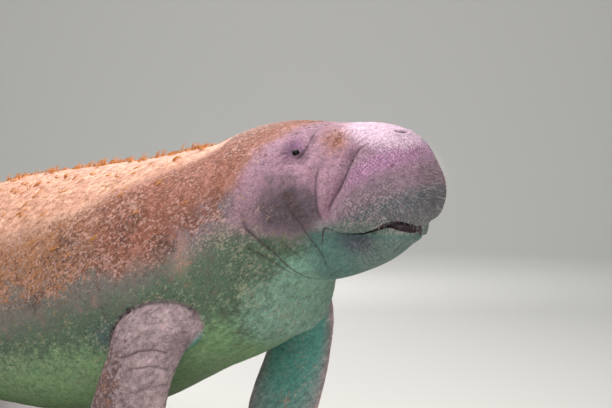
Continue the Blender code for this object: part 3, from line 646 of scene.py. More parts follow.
def flipper_frames(side):
    """Table along a flipper: distance, middle, direction, chord, face normal, half sizes."""
    stations, widths, thicknesses = zip(*FLIPPER_SECTIONS)
    t = np.linspace(0, stations[-1], FLIPPER_SAMPLES)
    columns = list(zip(*FLIPPERS[side]))
    before, here, after = (
        np.stack([curve_through(t + step, FLIPPER_STATIONS, c) for c in columns], -1)
        for step in (-FLIPPER_STEP, 0, FLIPPER_STEP))
    direction = after - before
    direction /= np.linalg.norm(direction, axis=1)[:, None]
    turn = math.radians(FLIPPER_TURN)
    face = np.cross(direction, [math.cos(turn), math.sin(turn), 0])
    face /= np.linalg.norm(face, axis=1)[:, None]
    chord = np.cross(face, direction)
    sizes = np.stack([curve_through(t, stations, column) for column in (widths, thicknesses)], -1)
    return t, here, direction, chord, face, sizes


FRAMES = {side: flipper_frames(side) for side in FLIPPERS}


def on_flipper(side, p):
    """Signed distance from a flipper, and each point's distance along, across and out of it."""
    t, here, direction, chord, face, sizes = FRAMES[side]
    i = np.argmin(((p[:, None] - here[None]) ** 2).sum(-1), axis=1)
    offset = p - here[i]
    along = np.clip(t[i] + (offset * direction[i]).sum(1), 0, t[-1])
    middle = np.stack([np.interp(along, t, here[:, k]) for k in range(3)], -1)
    offset = p - middle
    ahead = (offset * direction[i]).sum(1)
    u = (offset * chord[i]).sum(1)
    v = (offset * face[i]).sum(1)
    wide = np.interp(along, t, sizes[:, 0])
    thick = np.interp(along, t, sizes[:, 1])
    q = np.sqrt((u / wide) ** 2 + (v / thick) ** 2)
    k1 = np.sqrt((u / wide ** 2) ** 2 + (v / thick ** 2) ** 2)
    field = np.where(k1 > 1e-6, q * (q - 1) / np.maximum(k1, 1e-6), -thick)
    return field + np.abs(ahead), along, u, v if side == "right" else -v


def read(items, key, width=1, kind=np.int32):
    """Values that a mesh's vertices, faces, corners or attribute hold under a name."""
    values = np.empty(len(items) * width, kind)
    items.foreach_get(key, values)
    return values if width == 1 else values.reshape(-1, width)


def points_of(obj):
    """Vertex places of an object's mesh in the body's frame."""
    return read(obj.data.vertices, "co", 3, np.float32).astype(float) - SNOUT


def set_points(obj, p):
    """Moves the vertices of an object's mesh to places in the body's frame."""
    obj.data.vertices.foreach_set("co", (p + SNOUT).astype(np.float32).ravel())
    obj.data.update()


def normals_of(obj):
    """Vertex normals of an object's mesh."""
    return read(obj.data.vertex_normals, "vector", 3, np.float32).astype(float)


def deselect():
    """Leaves nothing selected and no object in edit mode."""
    if bpy.context.object and bpy.context.object.mode != "OBJECT":
        bpy.ops.object.mode_set(mode="OBJECT")
    for obj in bpy.context.view_layer.objects:
        obj.select_set(False)


def activate(obj):
    """Makes an object the only selected one and the active one."""
    deselect()
    obj.select_set(True)
    bpy.context.view_layer.objects.active = obj


def named(name):
    """The active object, with its name and its mesh's set."""
    obj = bpy.context.object
    obj.name = name
    obj.data.name = name
    return obj


def joined(name, pieces):
    """Joins pieces into one, under a name of its own."""
    activate(pieces[0])
    for piece in pieces:
        piece.select_set(True)
    bpy.ops.object.join()
    return named(name)


def finished(obj, angle):
    """Puts a piece's place in its mesh, smooths its shading and lets it ride on the body."""
    activate(obj)
    bpy.ops.object.transform_apply(location=True, rotation=True, scale=True)
    bpy.ops.object.shade_smooth_by_angle(angle=math.radians(angle))
    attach(obj, "root")
    return obj


def apply_modifier(obj, kind, **settings):
    """Adds a modifier with its settings and applies it."""
    activate(obj)
    modifier = obj.modifiers.new(kind.lower(), kind)
    for key, value in settings.items():
        setattr(modifier, key, value)
    bpy.ops.object.modifier_apply(modifier=modifier.name)


def boolean(target, tool, operation):
    """Joins or cuts a piece with a tool, which is then removed."""
    apply_modifier(target, "BOOLEAN", operation=operation, solver="EXACT", object=tool)
    bpy.data.objects.remove(tool)


def unit_sphere(name, segments, rings):
    """Sphere primitive of radius 1, and the places of its vertices round its middle."""
    deselect()
    bpy.ops.mesh.primitive_uv_sphere_add(segments=segments, ring_count=rings, radius=1)
    obj = named(name)
    return obj, points_of(obj) + SNOUT


def sphere_grid(name, segments, rings):
    """Unit sphere with the ring, from +Z down, and the segment of each vertex."""
    obj, co = unit_sphere(name, segments, rings)
    ring = np.rint(np.arccos(np.clip(co[:, 2], -1, 1)) / math.pi * rings).astype(int)
    turn = np.arctan2(co[:, 1], co[:, 0]) / (2 * math.pi)
    return obj, ring, np.rint(turn * segments).astype(int) % segments


def muzzle_turns(count):
    """Turns of the rings of rays over the muzzle, from straight ahead to square to the axis."""
    return [math.pi / 2 * (1 - i / count) for i in range(1, count)]


def wrapped(name, segments, turns, stations, level, forms=ALL_FORMS):
    """Skin of the body from its snout to its last station, as a sphere drawn onto the field."""
    rays = [muzzle_rays(turn, segments) for turn in turns]
    rays += [ring_rays(station, segments) for station in stations]
    obj, ring, segment = sphere_grid(name, segments, len(rays) + 1)
    centres = np.stack([r[0] for r in rays])
    directions = np.stack([r[1] for r in rays])
    reach = [RAY_REACH] * len(turns) + [max(RAY_REACH, 1.25 * float(max(section_at(s)[:3])) + 0.10)
                                        for s in stations]
    middle = (ring > 0) & (ring <= len(rays))
    row = ring[middle] - 1
    p = np.zeros((len(ring), 3))
    p[middle] = outermost(centres[row, segment[middle]], directions[row, segment[middle]],
                          np.array(reach)[row], level, forms)
    tip = muzzle_rays(math.pi / 2, 4)
    p[ring == 0] = outermost(tip[0][:1], tip[1][:1], np.array([RAY_REACH]), level, forms)
    x, z, _ = axis_at(min(stations[-1] + 0.5 * level + 0.002, BODY_LENGTH))
    p[ring > len(rays)] = (x, 0, z)
    set_points(obj, p)
    return obj


def lip_line(lip, crease_shift=0.0):
    """Side outline of all that lies under a lip and before the chin's crease."""
    points = np.array(lip + tuple((x + crease_shift, z) for x, z in CHIN_CREASE))
    t = np.linspace(0, len(points) - 1, (len(points) - 1) * 5 + 1)
    line = np.stack([curve_through(t, np.arange(len(points)), points[:, i]) for i in (0, 1)], -1)
    return list(line) + [(BLOCK_FRONT, line[-1][1]), (BLOCK_FRONT, line[0][1])]


def side_block(name, outline, start=-BLOCK_HALF_WIDTH):
    """Tool with a side outline of the head's frame, extruded from a start to the left of it."""
    deselect()
    bpy.ops.mesh.primitive_circle_add(vertices=len(outline), radius=1, fill_type="NGON")
    obj = named(name)
    set_points(obj, from_head([(x, start, z) for x, z in outline]))
    bpy.ops.object.mode_set(mode="EDIT")
    bpy.ops.mesh.select_all(action="SELECT")
    across = Vector(head_axes()[1]) * (BLOCK_HALF_WIDTH - start)
    bpy.ops.mesh.extrude_region_move(TRANSFORM_OT_translate={"value": across})
    bpy.ops.mesh.select_all(action="SELECT")
    bpy.ops.mesh.normals_make_consistent(inside=False)
    bpy.ops.object.mode_set(mode="OBJECT")
    lined(obj, 1)
    return obj


def mouth_core():
    """Closed inside of the mouth, set back behind the lips; its dark lining is partly painted
    shade.
    """
    core, unit = unit_sphere("mouth_core", 32, 20)
    set_points(core, from_head(unit * MOUTH_CORE_RADII + MOUTH_CORE))
    lined(core, 1)
    return core


def lined(obj, index):
    """Gives a piece the slots of skin and mouth lining, with all faces in one of them."""
    for _ in range(2):
        obj.data.materials.append(None)
    faces = obj.data.polygons
    faces.foreach_set("material_index", np.full(len(faces), index, np.int32))


def wrapped_flipper(side, level):
    """Skin of one flipper, as a sphere drawn out along its middle line."""
    obj, ring, segment = sphere_grid(f"flipper_{side}", FLIPPER_SEGMENTS, FLIPPER_RINGS)
    t, here, direction, chord, face, sizes = FRAMES[side]
    share = np.clip(1 - (ring - 1) / (FLIPPER_RINGS - 2), 0, 1)
    along = t[-1] * np.sin(share * math.pi / 2)
    at = {key: np.stack([np.interp(along, t, table[:, k]) for k in range(table.shape[1])], -1)
          for key, table in (("here", here), ("chord", chord), ("face", face), ("sizes", sizes))}
    angle = segment / FLIPPER_SEGMENTS * 2 * math.pi
    p = (at["here"] + at["chord"] * (np.cos(angle) * (at["sizes"][:, 0] + level))[:, None]
         + at["face"] * (np.sin(angle) * (at["sizes"][:, 1] + level))[:, None])
    p[ring == 0] = here[-1] + direction[-1] * FLIPPER_STEP
    p[ring == FLIPPER_RINGS] = here[0]
    set_points(obj, p)
    lined(obj, 0)
    return obj


def refine(obj, chosen, cuts):
    """Subdivides the faces whose corners are all chosen vertices."""
    activate(obj)
    corners = read(obj.data.loops, "vertex_index")
    picked = np.logical_and.reduceat(chosen[corners], read(obj.data.polygons, "loop_start"))
    bpy.ops.object.mode_set(mode="EDIT")
    bpy.ops.mesh.select_mode(type="FACE")
    bpy.ops.mesh.select_all(action="DESELECT")
    bpy.ops.object.mode_set(mode="OBJECT")
    obj.data.polygons.foreach_set("select", picked)
    bpy.ops.object.mode_set(mode="EDIT")
    bpy.ops.mesh.subdivide(number_cuts=cuts, ngon=False)
    bpy.ops.mesh.select_all(action="SELECT")
    bpy.ops.mesh.quads_convert_to_tris(quad_method="SHORTEST_DIAGONAL", ngon_method="BEAUTY")
    bpy.ops.object.mode_set(mode="OBJECT")


def outer_vertices(obj):
    """Whether each vertex lies on the outer skin and not only in the mouth."""
    outer = np.zeros(len(obj.data.vertices), bool)
    corners = read(obj.data.loops, "vertex_index")
    on_skin = read(obj.data.polygons, "material_index") == 0
    outer[corners[np.repeat(on_skin, read(obj.data.polygons, "loop_total"))]] = True
    return outer


def skin_field(p, kind):
    """Distance from the surface that a vertex belongs to: body, jaw or a blended flipper."""
    field = np.zeros(len(p))
    for k in range(4):
        at = np.flatnonzero(kind == k)
        if not len(at):
            continue
        field[at] = body_field(p[at], JAW_FORMS if k == 1 else ALL_FORMS)
        if k >= 2:
            side = "right" if k == 2 else "left"
            flipper, _, _, out = on_flipper(side, p[at])
            outside = smooth_step(-0.02, 0.03, out)
            blend = FLIPPER_BLEND_PIT + (FLIPPER_BLEND_CREASE - FLIPPER_BLEND_PIT) * outside
            field[at] = smooth_min(field[at], flipper, blend)
    return field


def settle(obj, level):
    """Draws the outer skin's vertices exactly onto the blended surface of body and flippers."""
    p = points_of(obj)
    fields = np.stack([body_field(p), body_field(p, JAW_FORMS)])
    kind = np.argmin(np.abs(fields - level), axis=0)
    off = np.abs(fields - level).min(0)
    moved = outer_vertices(obj) & (off > 1e-5) & (off < SETTLE_MOST)
    for k, side in ((2, "right"), (3, "left")):
        sign = 1 if side == "left" else -1
        near = np.flatnonzero((p[:, 1] * sign > 0) & (p[:, 0] < -0.36) & (p[:, 0] > -0.95))
        flipper = on_flipper(side, p[near])[0]
        both = near[(np.abs(flipper) < FLIPPER_REACH) & (np.abs(fields[0][near]) < FLIPPER_REACH)]
        kind[both] = k
        moved[both] = True
    at = np.flatnonzero(moved)
    for _ in range(SETTLE_STEPS):
        f = skin_field(p[at], kind[at]) - level
        slope = np.stack([
            skin_field(p[at] + step, kind[at]) - level - f for step in np.eye(3) * SLOPE_STEP
        ], -1) / SLOPE_STEP
        push = -f[:, None] * slope / np.maximum((slope ** 2).sum(1), 0.3)[:, None]
        length = np.linalg.norm(push, axis=1)[:, None]
        p[at] += push * np.minimum(1, SETTLE_MOST / np.maximum(length, 1e-9))
    set_points(obj, p)


def way_out(point, reach=SLOPE_STEP):
    """Change of the body's field along each axis at a point."""
    return np.array([(body_field(np.atleast_2d(point + step)) - body_field(
        np.atleast_2d(point - step)))[0] for step in np.eye(3) * reach])


def skin_point(place, side, inner):
    """Point of the body's surface over a place of the head's frame, and the way out of it."""
    start = from_head(inner)
    ray = from_head((place[0], side * place[1], place[2])) - start
    ray /= np.linalg.norm(ray)
    point = outermost(start[None], ray[None], np.array([FEATURE_REACH]), 0.0)
    out = way_out(point, SLOPE_STEP * 2)
    return point[0], out / np.linalg.norm(out)


def eye_at(side):
    """Middle of an eye on the surface, and the ways out, forward and up there."""
    point, out = skin_point(EYE_PLACE, side, (EYE_PLACE[0], 0, HEAD_CORE_HEIGHT))
    forward = head_axes()[0] - out * (out @ head_axes()[0])
    forward /= np.linalg.norm(forward)
    up = np.cross(out, forward)
    return point, out, forward, up * np.sign(up[2])


def nostril_at(side):
    """Middle of a nostril on the surface, and the ways out, along and across its slit."""
    point, out = skin_point(NOSTRIL_PLACE, side, (NOSTRIL_PLACE[0] - 0.01, 0, HEAD_CORE_HEIGHT))
    turn = Matrix.Rotation(math.radians(-side * NOSTRIL_TURN), 3, "Z")
    along = np.array(turn @ Vector(head_axes()[0]))
    along -= out * (out @ along)
    along /= np.linalg.norm(along)
    return point, out, along, np.cross(out, along)


def roughness_of(p, size, seed):
    """Smooth noise from -1 to 1 at each point, with features of a size."""
    return np.array([noise.noise(Vector(row)) for row in p / size + seed])


def girth(s):
    """Mean radius of the trunk at a station."""
    half_width, top, bottom, _ = section_at(s)
    return (half_width + (top + bottom) / 2) / 2


def on_trunk(points):
    """Stations and angles as stations and distances round the trunk."""
    return [(s, math.radians(angle) * float(girth(s))) for s, angle in points]


def grooves_in(lines, a, b, drawn=list):
    """Depth of narrow grooves drawn in a plane, and darkness of the shade painted along them."""
    depth = np.zeros(len(a))
    dark = np.zeros(len(a))
    for points, deep, wide, shade in lines.values():
        distance, share = to_segments(a, b, drawn(points))
        fade = smooth_step(0, 0.2, share) * smooth_step(1, 0.8, share)
        depth = np.maximum(depth, deep * fade * bell(distance, wide))
        dark = np.maximum(dark, shade * fade * bell(distance, LINE_WIDTH))
    return depth, dark


def surroundings(p):
    """Every coordinate that the skin's details and markings are drawn in."""
    s, height, _ = along_axis(p)
    found = {
        "s": s,
        "around": np.degrees(np.arctan2(height, np.abs(p[:, 1]))),
        "head": to_head(p),
        "limb": np.zeros(len(p)),
        "seam": np.ones(len(p)),
        "limb_place": np.zeros((len(p), 3)),
    }
    body = body_field(p)
    for side in FLIPPERS:
        sign = 1 if side == "left" else -1
        near = np.flatnonzero((p[:, 1] * sign > 0.05) & (p[:, 0] < -0.36) & (p[:, 0] > -1.0))
        flipper, along, across, out = on_flipper(side, p[near])
        found["limb"][near] = smooth_step(-0.006, 0.006, body[near] - flipper)
        apart = np.maximum(np.minimum(body[near], flipper), 0)
        found["seam"][near] = np.abs(body[near] - flipper) + apart
        found["limb_place"][near] = np.stack([along, across, out], -1)
    return found


def near_details(obj):
    """Vertices near an eye, a nostril or a flipper's seam, and those near any groove."""
    p = points_of(obj)
    at = surroundings(p)
    s, q, limb, seam, place = (at[key] for key in ("s", "head", "limb", "seam", "limb_place"))
    fine = (seam < 0.009) & (place[:, 2] > -0.02)
    for side in (-1, 1):
        for point, *_ in (eye_at(side), nostril_at(side)):
            fine |= np.linalg.norm(p - point, axis=1) < 0.030
    lines = (seam < 0.02) & (place[:, 0] > 0)
    arc = np.radians(at["around"]) * girth(s)
    for points, *_ in TRUNK_GROOVES.values():
        lines |= (limb < 0.5) & (to_segments(s, arc, on_trunk(points))[0] < 0.022)
    for points, *_ in LIMB_GROOVES.values():
        distance = to_segments(place[:, 0], place[:, 1], points)[0]
        fine |= (limb > 0.5) & (distance < 0.010) & (place[:, 2] > 0)
        lines |= (limb > 0.5) & (distance < 0.014)
    lines &= q[:, 0] <= -0.34
    for points, *_ in HEAD_GROOVES.values():
        distance = to_segments(q[:, 0], q[:, 2], points)[0]
        lines |= (s < 0.5) & (distance < 0.008) & (np.abs(q[:, 1]) > 0.02)
    return fine, lines


def line_relief(at):
    """Depth of the grooves and of the flippers' seams, and darkness of the shade painted along
    them.
    """
    s, q, limb, place = at["s"], at["head"], at["limb"], at["limb_place"]
    arc = np.radians(at["around"]) * girth(s)
    outside = smooth_step(-0.005, 0.012, place[:, 2]) * limb
    depth = SEAM_DEPTH * bell(at["seam"], SEAM_WIDTH) * smooth_step(-0.02, 0.02, place[:, 2])
    dark = SEAM_SHADE * bell(at["seam"], SEAM_LINE_WIDTH) * smooth_step(-0.01, 0.02, place[:, 2])
    for shown, found in (
            (1 - limb, grooves_in(TRUNK_GROOVES, s, arc, on_trunk)),
            (smooth_step(0.02, 0.05, np.abs(q[:, 1])), grooves_in(HEAD_GROOVES, q[:, 0], q[:, 2])),
            (outside, grooves_in(LIMB_GROOVES, place[:, 0], place[:, 1]))):
        depth = np.maximum(depth, found[0] * shown)
        dark = np.maximum(dark, found[1] * shown)
    return depth, dark


def wave(x):
    """Even waves between 0 and 1."""
    return 0.5 + 0.5 * np.sin(x)


def wrinkle_relief(p, at, bent):
    """Depth of the trunk's unevenness and of the fine wrinkles of neck and elbows."""
    s, limb, place = at["s"], at["limb"], at["limb_place"]
    trunk = smooth_step(0.30, 0.60, s)
    swell = 0.5 + 0.5 * roughness_of(p, SWELL[1], 3.1)
    depth = trunk * (1 - limb) * SWELL[0] * swell * smooth_step(2.9, 2.2, s)
    dimples = 0.5 + 0.5 * roughness_of(p, DIMPLES[1], 7.7)
    depth += (HEAD_DIMPLES + DIMPLES[0] * trunk) * dimples * smooth_step(2.95, 2.5, s)
    neck = smooth_step(0.28, 0.36, s) * smooth_step(0.62, 0.50, s) * (1 - limb)
    depth += neck * NECK_WRINKLES[0] * wave(
        s / NECK_WRINKLES[1] + 3.0 * bent + 0.02 * at["around"])
    elbow = limb * smooth_step(0.13, 0.17, place[:, 0]) * smooth_step(0.36, 0.28, place[:, 0])
    depth += elbow * ELBOW_WRINKLES[0] * wave(
        place[:, 0] / ELBOW_WRINKLES[1] + 2.5 * bent + 14 * place[:, 1])
    return depth


def round_opening(p, point, along, across, size, tilt=0.0, bow=0.0):
    """Distance of points from an opening's middle, angle round it and distance in its sizes."""
    offset = p - point
    u = offset @ along
    v = offset @ across + tilt * u - bow * u * u
    sizes = np.sqrt((u / size[0]) ** 2 + (v / size[1]) ** 2)
    return np.linalg.norm(offset, axis=1), np.arctan2(v, u), sizes


def carve(obj):
    """Moves the skin in and out for lids, nostrils, grooves, wrinkles and unevenness."""
    p = points_of(obj)
    at = surroundings(p)
    bent = roughness_of(p, 0.05, 1.3)
    depth, dark = line_relief(at)
    depth += wrinkle_relief(p, at, bent)
    lid = np.full(len(p), 9.0)
    for side in (-1, 1):
        point, _, forward, up = eye_at(side)
        r, angle, sizes = round_opening(p, point, forward, up, EYE_OPENING, tilt=EYE_TILT)
        slit = smooth_step(1.22, 0.82, sizes)
        rings = 0.0008 * bell(sizes - 2.1, 0.5) + 0.0006 * bell(sizes - 3.3, 0.5)
        pucker = 0.0007 * smooth_step(1.4, 2.6, sizes) * smooth_step(7.5, 3.5, sizes)
        pucker *= wave(13 * angle + 2.0 * bent)
        lift = LID_HEIGHT * bell(r, LID_WIDTH) * (1 - slit)
        near = r < EYE_SURROUND
        depth[near] += (rings + pucker + EYE_PIT * slit - lift)[near]
        lid[near] = sizes[near]
        point, _, along, across = nostril_at(side)
        r, _, sizes = round_opening(p, point, along, across, NOSTRIL_OPENING, bow=NOSTRIL_BOW)
        slit = smooth_step(1.35, 0.75, sizes)
        lift = NOSTRIL_RIM * bell(sizes - 2.4, 1.0) * (1 - slit)
        near = r < NOSTRIL_SURROUND
        depth[near] += (NOSTRIL_DEPTH * slit - lift)[near]
        # The nostril's slit is painted dark, as shade inside it
        dark[near] = np.maximum(dark, slit)[near]
    set_points(obj, p - normals_of(obj) * (depth * outer_vertices(obj))[:, None])
    at.update(dark=dark, lid=lid)
    return at


def store(obj, name, values):
    """Writes a number or a vector for each vertex, for the skin's material to read."""
    kind = "FLOAT" if values.ndim == 1 else "FLOAT_VECTOR"
    attribute = obj.data.attributes.new(name, kind, "POINT")
    attribute.data.foreach_set("value" if values.ndim == 1 else "vector",
                               values.astype(np.float32).ravel())


def zones_at(values):
    """Share of each zone of the hide at every point, from its slopes and spots."""
    zones = {}
    for name in ZONE_SLOPES | ZONE_SPOTS:
        share = ZONE_STRENGTHS.get(name, 1.0)
        for key, outside, inside in ZONE_SLOPES.get(name, ()):
            share = share * smooth_step(outside, inside, values[key])
        for key, middle, spread in ZONE_SPOTS.get(name, ()):
            share = share * bell(values[key] - middle, spread)
        zones[name] = share
    return zones


def mark(obj, at):
    """Stores where the skin's colours, algae, creases and muzzle dots belong."""
    s, around, q, limb = at["s"], at["around"], at["head"], at["limb"]
    x, z = q[:, 0], q[:, 2]
    place = at["limb_place"]
    body = 1 - limb

    # The face begins further back low down; the bands of the lip pads rise towards the front
    band = z - 0.50 * (x + 0.12)
    front = s - 0.27 - (80 - around) * 0.0017
    values = {"s": s, "around": around, "x": x, "z": z, "band": band, "front": front,
              "height": z + 0.3 * (x + 0.12), "back_of_pads": x + 0.35 * (0.02 - z).clip(0)}
    for key, (stations, angles) in ZONE_EDGES.items():
        values[key] = around - np.interp(s, stations, angles)
    marks = zones_at(values)
    back = 1 - marks["side"]
    nape = marks["nape"] * (1 - back)
    muzzle, lip = marks.pop("pads"), marks.pop("lip")
    # The crease mark holds the painted shade of the grooves, seams and nostril slits
    marks.update(limb=limb, crease=at["dark"], lid=at["lid"])
    marks["nape"] = nape * smooth_step(0.80, 0.60, s)
    marks["belly"] *= body
    marks["muzzle"] = np.maximum(muzzle, lip) * smooth_step(0.120, 0.075, band)
    marks["disk"] *= muzzle
    marks["under"] *= 1 - 0.45 * smooth_step(-0.075, -0.035, x)
    # The painted shadow under the upper lip is kept to the jaw
    marks["chin"] *= marks["jaw"]

    # Densities of rust, dark and pale granules, and strength of the wrinkle net
    flank = smooth_step(0.46, 0.60, s) * smooth_step(-26, -4, around) * (1 - back)
    marks["gold"] = np.maximum(smooth_step(0.66, 0.90, s), back)
    marks["algae"] = body * np.maximum.reduce([
        0.68 * nape * smooth_step(-0.02, 0.02, front), 0.56 * marks["brow"], 0.50 * flank,
        0.26 * back * smooth_step(0.42, 0.50, s),
        0.40 * smooth_step(1.0, 1.5, s) * smooth_step(-30, 0, around), 0.07 * muzzle,
        0.17 * muzzle * bell(band - 0.012, 0.030),
        0.30 * bell(x + 0.350, 0.05) * bell(z - 0.13, 0.03)])
    dark = [0.62 * bell(s - a, b) * bell(around - c, d) for a, b, c, d in DARK_PATCHES]
    dark += [0.30 * nape, 0.34 * flank, 0.36 * marks["cheek"],
             0.30 * marks["belly"] * smooth_step(0.30, 0.42, s) * smooth_step(-60, -36, around)]
    forearm = (smooth_step(0.12, 0.26, place[:, 0]) * smooth_step(0.030, -0.045, place[:, 1])
               * smooth_step(-0.005, 0.010, place[:, 2]))
    marks["dark"] = np.maximum(body * np.maximum.reduce(dark), limb * (0.12 + 0.44 * forearm))
    pale = [0.36 * nape, 0.38 * flank, 0.40 * marks["neck"], 0.26 * marks["cheek"],
            0.36 * smooth_step(-66, -46, around) * marks["belly"], 0.24 * marks["keel"]]
    marks["pale"] = np.maximum(
        body * smooth_step(0.24, 0.36, s) * np.maximum.reduce(pale), 0.16 * limb)
    marks["net"] = np.clip(marks["face"] + 0.5 * marks["neck"] + 0.7 * limb + 0.6 * marks["jaw"]
                           + 0.4 * marks["throat"], 0, 1)
    for name, shares in marks.items():
        store(obj, name, shares)

    offset = np.stack([x + 0.120, q[:, 1], z - 0.005], -1)
    reach = np.linalg.norm(offset, axis=1)
    sideways = np.arctan2(offset[:, 1], offset[:, 0])
    upward = np.arcsin(np.clip(offset[:, 2] / np.maximum(reach, 1e-6), -1, 1))
    store(obj, "pad_place", np.stack([sideways * 0.1, upward * 0.1, 0 * reach], -1))
    store(obj, "limb_place", place)


def node(tree, kind, inputs=(), **settings):
    """Adds a shader node with its settings; its inputs are values, sockets or other nodes."""
    new = tree.nodes.new(f"ShaderNode{kind}")
    for key, value in settings.items():
        setattr(new, key, value)
    for key, value in dict(inputs).items():
        enabled = [s for s in new.inputs if s.enabled]
        socket = enabled[key] if isinstance(key, int) else next(s for s in enabled if s.name == key)
        if isinstance(value, bpy.types.Node):
            value = next(s for s in value.outputs if s.enabled)
        if isinstance(value, bpy.types.NodeSocket):
            tree.links.new(value, socket)
        else:
            socket.default_value = value
    return new


def new_material(name):
    """Material with an empty tree, and the way to add its nodes."""
    material = bpy.data.materials.new(name)
    material.use_nodes = True
    material.node_tree.nodes.clear()
    return material, functools.partial(node, material.node_tree)


def finish_material(add, **inputs):
    """Ends a material with its shader; underscores in the names of inputs stand for spaces."""
    shader = add("BsdfPrincipled", {k.replace("_", " "): v for k, v in inputs.items()})
    add("OutputMaterial", {"Surface": shader})


def hide_patterns(add):
    """Patterns of the hide that its colours and relief share."""
    place = add("TexCoord").outputs["Object"]
    # Real sizes: blotches 90 mm, mottling 22 mm, flecks 11 mm, sparks 6 mm, granules 5 mm, grain
    # 3 mm, streaks 9 mm wide. All but blotches and grain are drawn out forward and up, as algae
    # that swimming has combed
    combed, drawn = (add("Mapping", {"Vector": place, "Rotation": (0, math.radians(-38), 0),
                                     "Scale": stretch}, vector_type="TEXTURE")
                     for stretch in ((1.5, 1.0, 0.8), (3.4, 1.0, 1.0)))
    found = {}
    for name, vector, size, detail, rough in (
            ("blotch", place, 0.090, 3, 0.55), ("mottle", combed, 0.022, 4, 0.62),
            ("fleck", combed, 0.0110, 5, 0.78), ("grain", place, 0.0030, 2, 0.6),
            ("spark", combed, 0.0058, 3, 0.6), ("streak", drawn, 0.0090, 2, 0.5)):
        found[name] = add("TexNoise", {"Vector": vector, "Scale": 1 / size, "Detail": detail,
                                       "Roughness": rough})
    found["warped"] = add("VectorMath", {0: found["mottle"].outputs["Color"], 1: (0.012,) * 3,
                                         2: place}, operation="MULTIPLY_ADD")
    found["granules"] = add("TexVoronoi", {"Vector": found["warped"], "Scale": 1 / 0.0050})
    found["chance"] = add("SeparateColor", {"Color": found["granules"].outputs["Color"]}).outputs
    found["speckle"] = add("SeparateColor", {"Color": found["fleck"].outputs["Color"]}).outputs
    found["uneven"] = add("Math", {0: found["mottle"], 1: add("Math", {
        0: found["blotch"], 1: -1.0})})
    found["ragged"] = add("Math", {0: add("Math", {0: found["fleck"], 1: -0.5}), 1: 0.5,
                                   2: found["uneven"]}, operation="MULTIPLY_ADD")
    return found


def zone_colours(add, settings, marks, patterns):
    """Colour of the broad zones, each with an edge that the mottling and flecks break up."""
    colour = add("Mix", {
        "Factor": add("MapRange", {"Value": patterns["mottle"], "From Min": 0.38,
                                   "From Max": 0.62}),
        "A": settings.back_colour, "B": settings.back_pale_colour}, data_type="RGBA")
    for name, broken in ZONE_BREAKS.items():
        raised = add("Math", {0: patterns["ragged"], 1: broken, 2: marks[name]},
                     operation="MULTIPLY_ADD")
        edge = add("MapRange", {"Value": raised, "From Min": 0.05, "From Max": 0.95},
                   interpolation_type="SMOOTHSTEP")
        kept = add("Math", {0: edge, 1: add("MapRange", {
            "Value": marks[name], "From Min": 0.0, "From Max": 0.15})}, operation="MULTIPLY")
        tint = getattr(settings, f"{name}_colour")
        colour = add("Mix", {"Factor": kept, "A": colour, "B": tint}, data_type="RGBA")
    worn = add("MapRange", {"Value": patterns["uneven"], "From Min": -0.25, "From Max": 0.25})
    limb = add("Mix", {"Factor": worn, "A": settings.flipper_dark_colour,
                       "B": settings.flipper_colour}, data_type="RGBA")
    # Inner faces of the flippers: painted shade with green light from the water
    place = add("Attribute", attribute_name="limb_place").outputs["Vector"]
    inner = add("MapRange", {"Value": add("SeparateXYZ", {"Vector": place}).outputs["Z"],
                             "From Min": -0.004, "From Max": -0.030})
    limb = add("Mix", {"Factor": inner, "A": limb, "B": settings.flipper_inner_shade_colour},
               data_type="RGBA")
    return add("Mix", {"Factor": marks["limb"], "A": colour, "B": limb}, data_type="RGBA")


def granule_colours(add, settings, marks, patterns, colour):
    """Granules of algae, dark stain and pale worn skin over the zones, and streaks on the back."""
    chance, speckle, uneven = (patterns[key] for key in ("chance", "speckle", "uneven"))
    # On the belly the dark and pale flecks take green colours, partly painted light from the water
    # below
    dark = add("Mix", {"Factor": marks["belly"], "A": settings.dark_fleck_colour,
                       "B": settings.belly_dark_colour}, data_type="RGBA")
    pale = add("Mix", {"Factor": marks["belly"], "A": settings.pale_fleck_colour,
                       "B": settings.belly_pale_colour}, data_type="RGBA")
    golden = add("Math", {0: chance[2], 1: 0.5, 2: add("Math", {
        0: marks["gold"], 1: 0.5}, operation="MULTIPLY")}, operation="MULTIPLY_ADD")
    gold = add("Mix", {"Factor": add("MapRange", {
        "Value": golden, "From Min": 0.35, "From Max": 0.85}),
        "A": settings.rust_fleck_colour, "B": settings.gold_fleck_colour}, data_type="RGBA")

    # Each granule is taken or left by chance, and more of them where their density is high
    patches = add("Math", {0: uneven, 1: 0.8}, operation="MULTIPLY")
    for name, luck, spread, tint, most in (
            ("algae", chance[0], speckle[0], gold, 0.85),
            ("dark", chance[1], speckle[1], dark, 0.80),
            ("pale", chance[2], patterns["spark"], pale, 0.55)):
        raised = add("Math", {0: patches, 1: marks[name]})
        lot = add("Math", {0: luck, 1: 0.25, 2: add("MapRange", {
            "Value": spread, "From Min": 0.32, "From Max": 0.68, "To Max": 0.75})},
            operation="MULTIPLY_ADD")
        mask = add("MapRange", {"Value": add("Math", {0: raised, 1: lot}, operation="SUBTRACT"),
                                "From Min": -0.05, "From Max": 0.11, "To Max": most})
        kept = add("Math", {0: mask, 1: add("MapRange", {
            "Value": marks[name], "From Min": 0.0, "From Max": 0.12})}, operation="MULTIPLY")
        colour = add("Mix", {"Factor": kept, "A": colour, "B": tint}, data_type="RGBA")

    # Streaks of golden algae that lie on the back
    lying = add("MapRange", {"Value": add("Math", {
        0: patterns["streak"], 1: add("Math", {0: uneven, 1: 0.35}, operation="MULTIPLY")}),
        "From Min": 0.60, "From Max": 0.70, "To Max": 0.8})
    above = add("Math", {0: marks["gold"], 1: marks["belly"]}, operation="SUBTRACT",
                use_clamp=True)
    return add("Mix", {"Factor": add("Math", {0: lying, 1: above}, operation="MULTIPLY"),
                       "A": colour, "B": settings.gold_fleck_colour}, data_type="RGBA")


